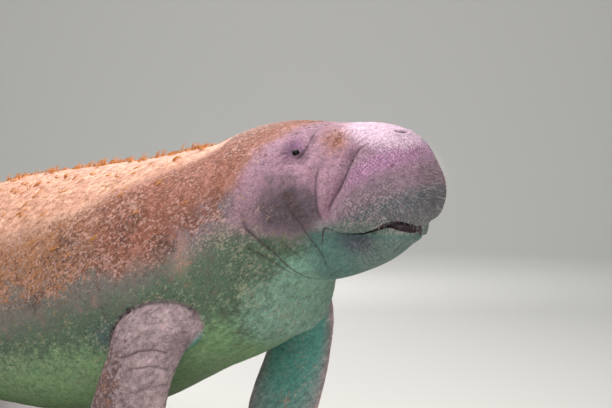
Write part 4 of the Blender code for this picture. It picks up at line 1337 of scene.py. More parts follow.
def fine_marks(add, marks, patterns):
    """Net of fine wrinkles, and dots of the bristle roots on the lip pads."""
    # Wrinkles about 6 mm apart, drawn sideways over the face, neck and flippers
    bent = add("VectorMath", {0: patterns["blotch"].outputs["Color"], 1: (0.060,) * 3,
                              2: patterns["warped"]}, operation="MULTIPLY_ADD")
    net = add("TexVoronoi", {"Vector": add("Mapping", {"Vector": bent, "Scale": (1.0, 1.0, 1.5)}),
                             "Scale": 1 / 0.0062}, feature="DISTANCE_TO_EDGE")
    cracks = add("Math", {0: add("MapRange", {
        "Value": net, "From Min": 0.09, "From Max": 0.0}), 1: marks["net"]}, operation="MULTIPLY")

    # Roots about 5.4 mm apart in staggered rows
    pad = add("Attribute", attribute_name="pad_place").outputs["Vector"]
    rows = add("Mapping", {"Vector": pad, "Rotation": (0, 0, math.radians(32))})
    roots = add("TexVoronoi", {"Vector": rows, "Scale": 1 / FOLLICLE_STEP, "Randomness": 0.6},
                voronoi_dimensions="2D")
    strewn = add("Math", {0: marks["muzzle"], 1: add("MapRange", {
        "Value": patterns["mottle"], "From Min": 0.34, "From Max": 0.58, "To Min": 0.35})},
        operation="MULTIPLY")
    dots = add("Math", {0: add("MapRange", {
        "Value": roots, "From Min": 0.55, "From Max": 0.20}), 1: strewn}, operation="MULTIPLY")
    return cracks, dots


def hide_material(settings):
    """Manatee hide: thick, dry-looking grey skin with algae; matt, pebbled and finely creased."""
    material, add = new_material("manatee_hide")
    marks = {name: add("Attribute", attribute_name=name).outputs["Fac"] for name in SKIN_MARKS}
    patterns = hide_patterns(add)
    colour = zone_colours(add, settings, marks, patterns)
    colour = granule_colours(add, settings, marks, patterns, colour)
    cracks, dots = fine_marks(add, marks, patterns)

    # The roots are dark on the upper part of the lip pads and stand out pale on the lower part
    low = add("Math", {0: dots, 1: marks["under"]}, operation="MULTIPLY")
    high = add("Math", {0: dots, 1: low}, operation="SUBTRACT")
    halo, rim = (
        add("MapRange", {"Value": marks["lid"], "From Min": outer, "From Max": inner,
                         "To Max": most}, interpolation_type="SMOOTHSTEP")
        for outer, inner, most in ((6.5, 1.6, 0.62), (1.9, 1.1, 0.85)))
    # Painted shade darkens the wrinkle cracks, the edge of the lids round each eye opening and the
    # creases
    for mask, most, tint in (
            (high, 0.60, settings.eyelid_colour), (low, 0.60, settings.root_colour),
            (cracks, 0.32, settings.eyelid_colour), (halo, 1.0, settings.eyelid_colour),
            (rim, 1.0, settings.crease_shade_colour), (marks["crease"], 1.0, settings.crease_shade_colour)):
        share = add("Math", {0: mask, 1: most}, operation="MULTIPLY")
        colour = add("Mix", {"Factor": share, "A": colour, "B": tint}, data_type="RGBA")

    # Tone: grain, flecks and granules lighten and darken all colours alike
    grain, fleck, mottle = (patterns[name] for name in ("grain", "fleck", "mottle"))
    tone = 0.0
    for pattern, amount in (
            (grain, 1.0), (fleck, 1.4), (mottle, 0.5), (patterns["chance"][2], 0.25)):
        tone = add("Math", {0: pattern, 1: amount, 2: tone}, operation="MULTIPLY_ADD")
    tone = add("Math", {0: tone, 1: -0.57})
    colour = add("Mix", {"Factor": 1.0, "A": colour, "B": tone}, data_type="RGBA",
                 blend_type="MULTIPLY")

    # Relief: rounded granules on the trunk, wrinkles and bristle roots on the head, and grain
    height = grain
    for pattern, amount in (
            (patterns["granules"], -0.9), (fleck, 1.4), (cracks, -0.7), (dots, 0.9)):
        height = add("Math", {0: pattern, 1: amount, 2: height}, operation="MULTIPLY_ADD")
    bump = add("Bump", {"Height": height, "Strength": settings.grain_strength,
                        "Distance": 0.0016})
    rough = add("MapRange", {"Value": mottle, "To Min": 0.50, "To Max": 0.68})
    finish_material(add, Base_Color=colour, Roughness=rough, Normal=bump, IOR=1.42,
                    Specular_IOR_Level=0.35)
    return material


def mouth_material(settings):
    """Lining of the mouth: moist mucous skin, smoother than the hide; its colour is darkened as
    painted shade.
    """
    material, add = new_material("mouth_lining")
    place = add("TexCoord").outputs["Object"]
    folds = add("TexNoise", {"Vector": place, "Scale": 1 / 0.006, "Detail": 3})
    colour = add("Mix", {"Factor": folds, "A": settings.mouth_colour,
                         "B": settings.crease_shade_colour}, data_type="RGBA")
    bump = add("Bump", {"Height": folds, "Strength": 0.4, "Distance": 0.001})
    finish_material(add, Base_Color=colour, Roughness=0.4, Normal=bump, IOR=1.40)
    return material


def build_skin(settings):
    """One closed skin for the body, jaw and flippers, with its folds, lids and nostrils."""
    inset = -settings.set_in
    tail = TAIL_START + TAIL_LENGTH * np.sin(np.linspace(0, 1, TAIL_RINGS) * math.pi / 2)
    stations = np.concatenate([*(np.arange(*rings) for rings in BODY_RINGS), tail])
    turns = muzzle_turns(settings.muzzle_rings)
    skin = wrapped("manatee_skin", BODY_SEGMENTS, turns, stations, inset)
    lined(skin, 0)
    turns = muzzle_turns(settings.muzzle_rings * 3 // 4)
    jaw = wrapped("jaw", JAW_SEGMENTS, turns, np.arange(*JAW_RINGS), 2 * inset, JAW_FORMS)
    lined(jaw, 0)
    boolean(jaw, side_block("jaw_block", lip_line(LOWER_LIP)), "INTERSECT")
    mouth = side_block("mouth_block", lip_line(UPPER_LIP, JAW_OVERLAP))
    # The left half of the upper lip hangs lower and covers the front of the mouth
    boolean(mouth, side_block("lip_block", LIP_HANG, LIP_HANG_START), "DIFFERENCE")
    boolean(skin, mouth, "DIFFERENCE")
    boolean(skin, jaw, "UNION")
    boolean(skin, mouth_core(), "UNION")
    for side in FLIPPERS:
        boolean(skin, wrapped_flipper(side, inset), "UNION")
    fine, _ = near_details(skin)
    refine(skin, fine, 2)
    _, lines = near_details(skin)
    refine(skin, lines, 1)
    settle(skin, inset)
    mark(skin, carve(skin))
    skin.data.materials[0] = hide_material(settings)
    skin.data.materials[1] = mouth_material(settings)
    finished(skin, 180)
    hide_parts("head", "lower_jaw", "neck", "torso", "tail_stock", "tail_paddle",
                "flipper_right", "flipper_left")
    return skin


def eye_material(settings):
    """Glass eye: black pupil and brown iris under a smooth dome, with one small dim light."""
    material, add = new_material("glass_eye")
    uv = add("UVMap", uv_map="UVMap")
    up = add("SeparateXYZ", {"Vector": uv}).outputs["Y"]
    fibres = add("TexNoise", {"Vector": add("Mapping", {"Vector": uv, "Scale": (60, 4, 1)}),
                              "Scale": 1.0, "Detail": 2})
    iris = add("Mix", {"Factor": fibres, "A": settings.iris_colour,
                       "B": settings.iris_rim_colour}, data_type="RGBA")
    around = add("MapRange", {"Value": up, "From Min": 0.80, "From Max": 0.84})
    colour = add("Mix", {"Factor": around, "A": settings.iris_rim_colour, "B": iris},
                 data_type="RGBA")
    pupil = add("MapRange", {"Value": up, "From Min": 0.905, "From Max": 0.92})
    colour = add("Mix", {"Factor": pupil, "A": colour, "B": settings.pupil_colour},
                 data_type="RGBA")
    finish_material(add, Base_Color=colour, Roughness=0.10, IOR=1.40, Specular_IOR_Level=0.18)
    return material


def build_eyes(settings):
    """Both eyeballs, each with a raised dome and its pole facing out between the lids."""
    material = eye_material(settings)
    for side, name in ((-1, "right"), (1, "left")):
        point, out, forward, _ = eye_at(side)
        eye, co = unit_sphere(f"eyeball_{name}", 40, 28)
        dome = smooth_step(EYE_DOME_START, 1.0, co[:, 2])
        co *= settings.eye_radius * (1 + EYE_DOME_RISE * dome[:, None])
        rows = np.stack([forward, np.cross(out, forward), out])
        set_points(eye, point - out * EYE_SET_IN + co @ rows)
        eye.data.materials.append(material)
        finished(eye, 60)
        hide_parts(f"eye_{name}")


def nail_material(settings):
    """Nail keratin: horn with lengthwise streaks; half glossy, so it holds a soft light."""
    material, add = new_material("nail_keratin")
    place = add("TexCoord").outputs["Object"]
    streaks = add("TexNoise", {
        "Vector": add("Mapping", {"Vector": place, "Scale": (1, 1, 0.12)}),
        "Scale": 1 / 0.0012, "Detail": 3})
    colour = add("Mix", {"Factor": streaks, "A": settings.nail_colour,
                         "B": settings.nail_dark_colour}, data_type="RGBA")
    bump = add("Bump", {"Height": streaks, "Strength": 0.3, "Distance": 0.0004})
    finish_material(add, Base_Color=colour, Roughness=0.38, Normal=bump, IOR=1.54)
    return material


def build_nails(settings):
    """Three flat nails near the tip of each flipper's outer face."""
    material = nail_material(settings)
    for side in FLIPPERS:
        t, here, direction, chord, face, sizes = FRAMES[side]
        outward = face if side == "right" else -face
        nails = []
        for offset in NAIL_OFFSETS:
            place = t[-1] - NAIL_FROM_TIP - abs(offset - NAIL_MIDDLE) * NAIL_ROW_CURVE
            i = int(np.argmin(abs(t - place)))
            wide, thick = sizes[i]
            rise = thick * math.sqrt(max(1 - (offset / wide) ** 2, 0.05))
            centre = here[i] + chord[i] * offset + outward[i] * rise * NAIL_SET_OUT
            nail, co = unit_sphere(f"nail_{len(nails)}", 20, 12)
            # The free end is squarer and thicker than the root, which sinks into the skin
            ahead = co[:, 2]
            co[:, 0] *= 1 + 0.15 * ahead
            co[:, 1] *= 1 + 0.25 * ahead
            shape = np.array(NAIL_RADII) * settings.nail_size
            rows = np.stack([chord[i], outward[i], direction[i]])
            lifted = outward[i] * (0.0020 * smooth_step(-0.2, 1.0, ahead))[:, None]
            set_points(nail, centre + (co * shape) @ rows + lifted)
            nails.append(nail)
        nails = joined(f"nails_{side}", nails)
        nails.data.materials.append(material)
        finished(nails, 60)


def scattered(skin, density, count, rng):
    """Random places on the skin, more where the density is high, and the normals there."""
    skin.data.calc_loop_triangles()
    corners = read(skin.data.loop_triangles, "vertices", 3)
    p = points_of(skin)
    a, b, c = (p[corners[:, k]] for k in range(3))
    area = np.linalg.norm(np.cross(b - a, c - a), axis=1)
    weight = area * density[corners].mean(1)
    chosen = corners[rng.choice(len(corners), count, p=weight / weight.sum())]
    share = rng.dirichlet((1, 1, 1), count)[..., None]
    at = (p[chosen] * share).sum(1)
    normal = (normals_of(skin)[chosen] * share).sum(1)
    return at, normal / np.linalg.norm(normal, axis=1)[:, None]


def strands(name, roots, normals, lean, lengths, radius, toward, bend):
    """Many thin tapered hairs as one mesh, each an arc from its root that bends towards a way."""
    count = len(roots)
    step = np.linspace(0, 1, STRAND_RINGS)
    start = normals + lean
    start /= np.linalg.norm(start, axis=1)[:, None]
    side = toward - start * (toward * start).sum(1)[:, None]
    side /= np.linalg.norm(side, axis=1)[:, None]
    other = np.cross(start, side)
    bend = np.maximum(bend, 0.05)[:, None]
    turn = (bend * step)[..., None]
    size = (lengths[:, None] / bend)[..., None]
    centre = (roots - normals * ROOT_DEPTH)[:, None] + size * (
        np.sin(turn) * start[:, None] + (1 - np.cos(turn)) * side[:, None])
    across = np.cos(turn) * side[:, None] - np.sin(turn) * start[:, None]
    around = np.arange(STRAND_SIDES) / STRAND_SIDES * 2 * math.pi
    taper = radius[:, None] * (1 - STRAND_TAPER * step ** 1.5)
    ring = (across[:, :, None] * np.cos(around)[:, None]
            + other[:, None, None] * np.sin(around)[:, None])
    body = centre[:, :, None] + ring * taper[..., None, None]
    tip = centre[:, -1] + (centre[:, -1] - centre[:, -2]) * TIP_LENGTH
    each = STRAND_RINGS * STRAND_SIDES + 1
    points = np.concatenate([body.reshape(count, -1, 3), tip[:, None]], 1)
    faces = [tuple(range(STRAND_SIDES))[::-1]]
    for r in range(STRAND_RINGS - 1):
        for k in range(STRAND_SIDES):
            a, b = r * STRAND_SIDES + k, r * STRAND_SIDES + (k + 1) % STRAND_SIDES
            faces.append((a, b, b + STRAND_SIDES, a + STRAND_SIDES))
    last = (STRAND_RINGS - 1) * STRAND_SIDES
    faces += [(last + k, last + (k + 1) % STRAND_SIDES, each - 1) for k in range(STRAND_SIDES)]
    mesh = bpy.data.meshes.new(name)
    mesh.from_pydata((points.reshape(-1, 3) + SNOUT).tolist(), [],
                     [tuple(i + n * each for i in face) for n in range(count) for face in faces])
    obj = bpy.data.objects.new(name, mesh)
    bpy.context.collection.objects.link(obj)

    # UV map OFBake: each hair is a small patch placed by its root's angle round the body and its
    # station
    s, height, _ = along_axis(roots)
    u = np.arctan2(height, roots[:, 1]) / (2 * math.pi) + 0.5
    v = s / BODY_LENGTH
    spread = np.zeros((each, 2))
    spread[:-1, 0] = np.tile(np.arange(STRAND_SIDES) / (STRAND_SIDES - 1), STRAND_RINGS)
    spread[:-1, 1] = np.repeat(step, STRAND_SIDES) * 0.8
    spread[-1] = (0.5, 1.0)
    uv = np.clip(np.stack([u, v], -1), 0, 1 - PATCH_SIZE)[:, None] + spread * PATCH_SIZE
    corner = read(mesh.loops, "vertex_index")
    layer = mesh.uv_layers.new(name="OFBake")
    layer.data.foreach_set("uv", uv.reshape(-1, 2)[corner].astype(np.float32).ravel())
    along = mesh.attributes.new("along", "FLOAT", "POINT")
    along.data.foreach_set("value", np.tile(np.append(np.repeat(step, STRAND_SIDES), 1.0),
                                            count).astype(np.float32))
    return obj


def hair_material(name, root, tip, roughness):
    """Stiff hair or thread algae: a matt filament that pales or reddens towards its tip."""
    material, add = new_material(name)
    along = add("Attribute", attribute_name="along").outputs["Fac"]
    place = add("TexCoord").outputs["Object"]
    varied = add("TexNoise", {"Vector": place, "Scale": 1 / 0.030, "Detail": 3})
    mixed = add("Math", {0: varied, 1: 0.8, 2: along}, operation="MULTIPLY_ADD")
    share = add("MapRange", {"Value": mixed, "From Min": 0.1, "From Max": 1.3})
    colour = add("Mix", {"Factor": share, "A": root, "B": tip}, data_type="RGBA")
    finish_material(add, Base_Color=colour, Roughness=roughness, IOR=1.55)
    return material


def end_strands(obj, material):
    """Gives a finished coat piece its material and body."""
    obj.data.materials.append(material)
    finished(obj, 60)


def attribute_of(skin, name):
    """Numbers stored for each vertex of the skin."""
    return read(skin.data.attributes[name].data, "value", 1, np.float32).astype(float)


def build_bristles(settings):
    """Stiff pale bristles on the lip pads and fine single hairs over the body."""
    skin = bpy.data.objects["manatee_skin"]
    rng = np.random.default_rng(11)
    p = points_of(skin)
    q = to_head(p)
    outer = outer_vertices(skin)
    muzzle = attribute_of(skin, "muzzle") * outer * (attribute_of(skin, "crease") < 0.3)
    muzzle *= smooth_step(0.12, 0.09, q[:, 2]) * (0.35 + 0.65 * attribute_of(skin, "disk"))
    jaw = attribute_of(skin, "jaw") * outer * smooth_step(-0.20, -0.15, q[:, 0]) * 0.25
    roots, normals = scattered(skin, muzzle + jaw, settings.bristle_count, rng)
    count = len(roots)
    lean = rng.normal(0, 0.22, (count, 3)) + np.array([0.15, 0, -0.15])
    place = to_head(roots)
    lengths = settings.bristle_length * rng.uniform(0.5, 1.0, count)
    lengths *= 0.45 + 0.55 * smooth_step(-0.10, -0.04, place[:, 0])
    lengths *= smooth_step(-0.16, -0.06, place[:, 2]).clip(0.5)
    toward = rng.normal(0, 0.5, (count, 3)) + np.array([0, 0, -1])
    radius = settings.bristle_radius * rng.uniform(0.8, 1.2, count)
    bristles = strands("muzzle_bristles", roots, normals, lean, lengths, radius, toward,
                       rng.uniform(0.05, 0.4, count))
    end_strands(bristles, hair_material("bristle_keratin", settings.bristle_colour,
                                        settings.bristle_tip_colour, 0.45))
    body = outer * smooth_step(0.34, 0.45, along_axis(p)[0]) * smooth_step(2.9, 2.5, -p[:, 0])
    body *= 1 - attribute_of(skin, "limb")
    roots, normals = scattered(skin, body, settings.hair_count, rng)
    count = len(roots)
    lean = rng.normal(0, 0.25, (count, 3)) + np.array([-0.5, 0, 0])
    lengths = settings.hair_length * rng.uniform(0.6, 1.0, count)
    radius = np.full(count, settings.hair_radius)
    hairs = strands("body_hairs", roots, normals, lean, lengths, radius,
                    rng.normal(0, 1, (count, 3)), rng.uniform(0.1, 0.9, count))
    end_strands(hairs, hair_material("body_hair_keratin", settings.hair_colour,
                                     settings.bristle_colour, 0.5))


def build_algae(settings):
    """Thread algae that grows in tufts along the back and thins out down the flanks."""
    skin = bpy.data.objects["manatee_skin"]
    rng = np.random.default_rng(23)
    p = points_of(skin)
    s, height, _ = along_axis(p)
    around = np.degrees(np.arctan2(height, np.abs(p[:, 1])))
    patches = smooth_step(-0.15, 0.35, roughness_of(p, 0.07, 5.5))
    back = smooth_step(0.42, 0.56, s) * smooth_step(2.9, 2.4, s)
    density = back * (0.15 + 0.85 * patches) * (1 - attribute_of(skin, "limb"))
    density *= (smooth_step(58, 80, around) + 0.16 * smooth_step(14, 40, around)
                + 0.04 * smooth_step(-8, 5, around))
    each = settings.tuft_strands
    roots, normals = scattered(skin, density, settings.tuft_count, rng)
    upright = smooth_step(40, 72, np.degrees(np.arcsin(np.clip(normals[:, 2], 0, 1))))
    # Along the back a tuft stands up and curls over forward; down the flank it lies combed flat
    combed = np.array([1.0, 0.0, 0.75]) - normals * (normals @ [1.0, 0.0, 0.75])[:, None]
    lean = combed * (0.5 + 2.6 * (1 - upright))[:, None] + rng.normal(0, 0.30, normals.shape)
    spread = rng.normal(0, 0.0016, (len(roots), each, 3))
    spread -= normals[:, None] * (spread * normals[:, None]).sum(-1)[..., None]
    roots = (roots[:, None] + spread).reshape(-1, 3)
    toward = combed[:, None] + rng.normal(0, 0.35, spread.shape)
    toward[..., 2] -= 0.5 * upright[:, None]
    lean = (lean[:, None] + rng.normal(0, 0.16, spread.shape)).reshape(-1, 3)
    bend = rng.uniform(1.2, 3.8, len(normals)) * (0.12 + 0.88 * upright)
    count = len(roots)
    size = np.repeat(rng.uniform(0.45, 1.0, len(normals)), each)
    lengths = settings.algae_length * size * rng.uniform(0.7, 1.0, count)
    bend = np.repeat(bend, each) * rng.uniform(0.75, 1.2, count)
    radius = settings.algae_radius * rng.uniform(0.7, 1.3, count)
    algae = strands("back_algae", roots, np.repeat(normals, each, axis=0), lean, lengths, radius,
                    toward.reshape(-1, 3), bend)
    end_strands(algae, hair_material("thread_algae", settings.algae_root_colour,
                                     settings.algae_tip_colour, 0.7))


def oak_material(settings):
    """Stained oak, planed and satin lacquered: dark grain, open pores and a soft gloss."""
    material, add = new_material("lacquered_oak")
    place = add("TexCoord").outputs["Object"]
    grain = add("Mapping", {"Vector": place, "Scale": (0.06, 1.0, 0.5)})
    figure = add("TexNoise", {"Vector": grain, "Scale": 1 / 0.022, "Detail": 4,
                              "Distortion": 0.6})
    pores = add("TexNoise", {
        "Vector": add("Mapping", {"Vector": place, "Scale": (0.05, 1.0, 1.0)}),
        "Scale": 1 / 0.0022, "Detail": 2})
    colour = add("Mix", {
        "Factor": add("MapRange", {"Value": figure, "From Min": 0.35, "From Max": 0.65}),
        "A": settings.oak_dark_colour, "B": settings.oak_colour}, data_type="RGBA")
    open_pore = add("MapRange", {"Value": pores, "From Min": 0.42, "From Max": 0.34,
                                 "To Max": 0.7})
    colour = add("Mix", {"Factor": open_pore, "A": colour,
                         "B": settings.oak_pore_colour}, data_type="RGBA")
    bump = add("Bump", {"Height": pores, "Strength": 0.25, "Distance": 0.0006})
    finish_material(add, Base_Color=colour, Roughness=0.36, Normal=bump, IOR=1.5,
                    Coat_Weight=0.25, Coat_Roughness=0.2)
    return material


def steel_material(settings):
    """Stainless steel, brushed round the rod: fine rings that stretch the highlight."""
    material, add = new_material("brushed_stainless_steel")
    place = add("TexCoord").outputs["Object"]
    brushed = add("TexNoise", {
        "Vector": add("Mapping", {"Vector": place, "Scale": (0.03, 0.03, 1.0)}),
        "Scale": 1 / 0.0009, "Detail": 3})
    rough = add("MapRange", {"Value": brushed, "To Min": 0.24, "To Max": 0.44})
    bump = add("Bump", {"Height": brushed, "Strength": 0.15, "Distance": 0.0003})
    finish_material(add, Base_Color=settings.steel_colour, Metallic=1.0, Roughness=rough,
                    Normal=bump)
    return material


def rubber_material(settings):
    """Cast black rubber: dull, faintly dusty, so it takes only a broad dim light."""
    material, add = new_material("cast_rubber")
    place = add("TexCoord").outputs["Object"]
    dust = add("TexNoise", {"Vector": place, "Scale": 1 / 0.0030, "Detail": 4})
    colour = add("Mix", {"Factor": dust, "A": settings.rubber_colour,
                         "B": settings.rubber_dust_colour}, data_type="RGBA")
    bump = add("Bump", {"Height": dust, "Strength": 0.2, "Distance": 0.0003})
    finish_material(add, Base_Color=colour, Roughness=0.65, Normal=bump)
    return material


def build_fittings(rubber, steel):
    """Rubber cushions between the rods and the belly, and socket screws in the rods' flanges."""
    screws = []
    for name, station in RODS.items():
        x, z, _ = axis_at(station)
        start = np.array([[x, 0.0, z]])
        at = outermost(start, np.array([[0.0, 0.0, -1.0]]), np.array([CUSHION_REACH]),
                       0.0)[0]
        slope, _, rise = way_out(at)
        out = Vector((slope, 0, rise)).normalized()
        deselect()
        bpy.ops.mesh.primitive_torus_add(
            major_radius=ROD_RADIUS + 0.0015, minor_radius=CUSHION_RADIUS, major_segments=48,
            minor_segments=12, location=Vector(at + SNOUT) + out * 0.002,
            rotation=out.to_track_quat("Z", "Y").to_euler())
        cushion = named(f"stand_cushion_{name}")
        cushion.data.materials.append(rubber)
        finished(cushion, 60)
        for k in range(4):
            turn = math.radians(45 + 90 * k)
            middle = Vector((SNOUT[0] + float(x) + FLANGE_SCREW_RADIUS * math.cos(turn),
                             FLANGE_SCREW_RADIUS * math.sin(turn), FLANGE_TOP + 0.0006))
            deselect()
            bpy.ops.mesh.primitive_cylinder_add(vertices=24, radius=SCREW_RADIUS,
                                                depth=SCREW_HEIGHT, location=middle)
            screw = named(f"screw_{len(screws)}")
            bpy.ops.mesh.primitive_cylinder_add(vertices=6, radius=SOCKET_RADIUS,
                                                depth=SOCKET_DEPTH,
                                                location=middle + Vector((0, 0, 0.0022)))
            boolean(screw, bpy.context.object, "DIFFERENCE")
            apply_modifier(screw, "BEVEL", width=SCREW_BEVEL, segments=2)
            screws.append(screw)
    screws = joined("stand_screws", screws)
    screws.data.materials.append(steel)
    finished(screws, 30)


def finish_stand(settings):
    """Gives the base and the rods their materials, and adds the cushions and screws."""
    materials = {"stand_base": oak_material(settings)}
    materials["stand_rod_front"] = materials["stand_rod_rear"] = steel_material(settings)
    for name, material in materials.items():
        obj = bpy.data.objects[name]
        obj.data.materials.clear()
        obj.data.materials.append(material)
    build_fittings(rubber_material(settings), materials["stand_rod_front"])


def build_floor(settings):
    """Round pale floor that curves up into a wall, with its paint."""
    deselect()
    start = settings.floor_radius
    rise = settings.wall_height
    bpy.ops.mesh.primitive_circle_add(vertices=128, radius=start, fill_type="NOTHING")
    floor = named("studio_floor")
    bpy.ops.object.mode_set(mode="EDIT")
    turns = [k / WALL_STEPS * math.pi / 2 for k in range(WALL_STEPS + 1)]
    for before, after in zip(turns, turns[1:]):
        lift = (0, 0, rise * (math.cos(before) - math.cos(after)))
        bpy.ops.mesh.extrude_region_move(TRANSFORM_OT_translate={"value": lift})
        scale = (start + rise * math.sin(after)) / (start + rise * math.sin(before))
        bpy.ops.transform.resize(value=(scale, scale, 1), center_override=(0, 0, 0))
    bpy.ops.mesh.select_all(action="DESELECT")
    bpy.ops.object.mode_set(mode="OBJECT")
    for vertex in floor.data.vertices:
        vertex.select = vertex.co.z < 1e-6
    bpy.ops.object.mode_set(mode="EDIT")
    bpy.ops.mesh.select_mode(type="VERT")
    bpy.ops.mesh.edge_face_add()
    bpy.ops.mesh.select_all(action="SELECT")
    bpy.ops.mesh.normals_make_consistent(inside=False)
    bpy.ops.object.mode_set(mode="OBJECT")
    if max(floor.data.polygons, key=lambda face: face.area).normal.z < 0:
        floor.data.flip_normals()
    activate(floor)
    bpy.ops.object.shade_smooth()
    # Painted studio floor: even, matt and pale, with a faint roller texture
    material, add = new_material("studio_paint")
    place = add("TexCoord").outputs["Object"]
    roller = add("TexNoise", {"Vector": place, "Scale": 1 / 0.012, "Detail": 2})
    bump = add("Bump", {"Height": roller, "Strength": 0.08, "Distance": 0.0005})
    finish_material(add, Base_Color=settings.floor_colour, Roughness=0.7, Normal=bump)
    floor.data.materials.append(material)


def light_stage(settings):
    """Even light from all sides and soft square lamps, each turned to its target."""
    world = bpy.data.worlds.new("studio_air")
    bpy.context.scene.world = world
    world.use_nodes = True
    background = world.node_tree.nodes["Background"]
    background.inputs["Color"].default_value = settings.air_colour
    background.inputs["Strength"].default_value = settings.air_strength
    for name, (place, target, size, colour) in LAMPS.items():
        deselect()
        bpy.ops.object.light_add(type="AREA", location=place)
        lamp = bpy.context.object
        lamp.name = f"{name}_softbox"
        lamp.data.size = size
        lamp.data.energy = getattr(settings, f"{name}_power")
        lamp.data.color = colour
        lamp.rotation_euler = (Vector(target) - Vector(place)).to_track_quat("-Z", "Y").to_euler()


def build_stage(settings):
    """Floor, lamps and the camera of the photo."""
    build_floor(settings)
    light_stage(settings)
    azimuth, elevation = math.radians(CAMERA_AZIMUTH), math.radians(CAMERA_ELEVATION)
    flat = math.cos(elevation)
    back = Vector((math.sin(azimuth) * flat, -math.cos(azimuth) * flat, math.sin(elevation)))
    target = Vector(CAMERA_TARGET) + Vector(SNOUT)
    bpy.ops.object.camera_add(location=target + back * CAMERA_DISTANCE)
    camera = bpy.context.object
    camera.name = "photo_camera"
    camera.rotation_euler = (-back).to_track_quat("-Z", "Y").to_euler()
    camera.data.lens = CAMERA_LENS
    camera.data.sensor_width = CAMERA_SENSOR
    bpy.context.scene.camera = camera
    bpy.context.scene.view_settings.view_transform = "Standard"


def colour_property(name, code):
    """Colour setting with an sRGB default."""
    return bpy.props.FloatVectorProperty(
        name=name, description=f"Colour of the {name.lower()}", subtype="COLOR", size=4, min=0,
        max=1, default=linear(code))


def length_property(name, description, default):
    """Length setting in metres."""
    return bpy.props.FloatProperty(name=name, description=description, default=default, min=0,
                                   unit="LENGTH", precision=4)


def number_property(name, description, default):
    """Plain number setting."""
    kind = bpy.props.IntProperty if isinstance(default, int) else bpy.props.FloatProperty
    return kind(name=name, description=description, default=default, min=0)


class ManateeSkinSettings(bpy.types.PropertyGroup):
    """Sizes and colours of the skin."""

    set_in: length_property("Set in", "How far the skin lies inside the solid body", 0.0008)
    muzzle_rings: number_property("Muzzle rings", "Rings of faces over the muzzle", 58)
    grain_strength: number_property("Grain", "Strength of the pebbled grain", 0.75)
    back_colour: colour_property("Back", "#c48e76")
    back_pale_colour: colour_property("Pale blotches of the back", "#dcab94")
    side_colour: colour_property("Flank", "#b08a7a")
    neck_colour: colour_property("Side of the neck", "#7c6c70")
    # Green partly from algae and partly painted light from the water below
    belly_colour: colour_property("Belly", "#4f6450")
    # Partly the skin's own grey and partly painted shade
    dusk_colour: colour_property("Lower flank", "#706b66")
    halo_colour: colour_property("Skin round the eyes", "#8a5f80")
    brow_colour: colour_property("Stain of the brow", "#a8776f")
    # Lighter green: painted light from below
    keel_colour: colour_property("Middle of the belly", "#75946a")
    # Painted shadow behind the flipper
    armpit_colour: colour_property("Behind the flipper", "#4c615c")
    # Painted shadow on the jaw under the overhanging upper lip
    chin_colour: colour_property("Dark patch of the jaw", "#3e4f54")
    # Lighter green: painted light from below
    throat_colour: colour_property("Underside", "#7b9f8c")
    nape_colour: colour_property("Nape", "#a06c5f")
    face_colour: colour_property("Face", "#ad8696")
    # Painted shade on the lower part of the face
    cheek_colour: colour_property("Cheeks", "#5d5158")
    root_colour: colour_property("Bristle roots of the lower lip pads", "#c4a5a3")
    top_colour: colour_property("Top of the muzzle", "#dfbfd1")
    disk_colour: colour_property("Lip pads", "#a98798")
    violet_colour: colour_property("Violet band of the lip pads", "#b987a9")
    # Darker and greener downwards: partly the skin's own colour, partly painted shade and green
    # light from below
    under_colour: colour_property("Dark band of the lip pads", "#766773")
    lower_colour: colour_property("Lower part of the lip pads", "#5e686d")
    rim_colour: colour_property("Rim of the upper lip", "#6a8578")
    jaw_colour: colour_property("Jaw", "#577970")
    flipper_colour: colour_property("Outer side of the flippers", "#b69ea1")
    flipper_dark_colour: colour_property("Dark mottling of the flippers", "#8c787b")
    # Painted shade with green light from the water
    flipper_inner_shade_colour: colour_property("Inner side of the flippers", "#5d9a8e")
    rust_fleck_colour: colour_property("Rust algae", "#804c3a")
    gold_fleck_colour: colour_property("Golden algae", "#a8724c")
    dark_fleck_colour: colour_property("Dark stain", "#513832")
    # Tinted green, partly as painted light from the water below
    belly_dark_colour: colour_property("Dark stain of the belly", "#3d4635")
    pale_fleck_colour: colour_property("Pale worn skin", "#cba195")
    # Tinted green, partly as painted light from the water below
    belly_pale_colour: colour_property("Pale worn skin of the belly", "#96957c")
    # Painted shade in creases, grooves, seams, nostril slits, wrinkle cracks, lid edges and folds
    # of the mouth
    crease_shade_colour: colour_property("Creases", "#4d3c43")
    eyelid_colour: colour_property("Eyelids", "#5c3f52")
    # Partly painted shade: the lining's colour is darkened as shade inside the mouth
    mouth_colour: colour_property("Mouth lining", "#34292c")


class ManateeEyeSettings(bpy.types.PropertyGroup):
    """Size and colours of the eyes."""

    eye_radius: length_property("Radius", "Radius of the eyeballs", EYE_RADIUS)
    pupil_colour: colour_property("Pupil", "#050405")
    iris_colour: colour_property("Iris", "#1d1411")
    iris_rim_colour: colour_property("Rim of the iris", "#0b0808")


class ManateeNailSettings(bpy.types.PropertyGroup):
    """Size and colours of the nails."""

    nail_size: number_property("Size", "Size against the modelled nail", 1.0)
    nail_colour: colour_property("Nails", "#b3a597")
    nail_dark_colour: colour_property("Nail streaks", "#7d6c60")


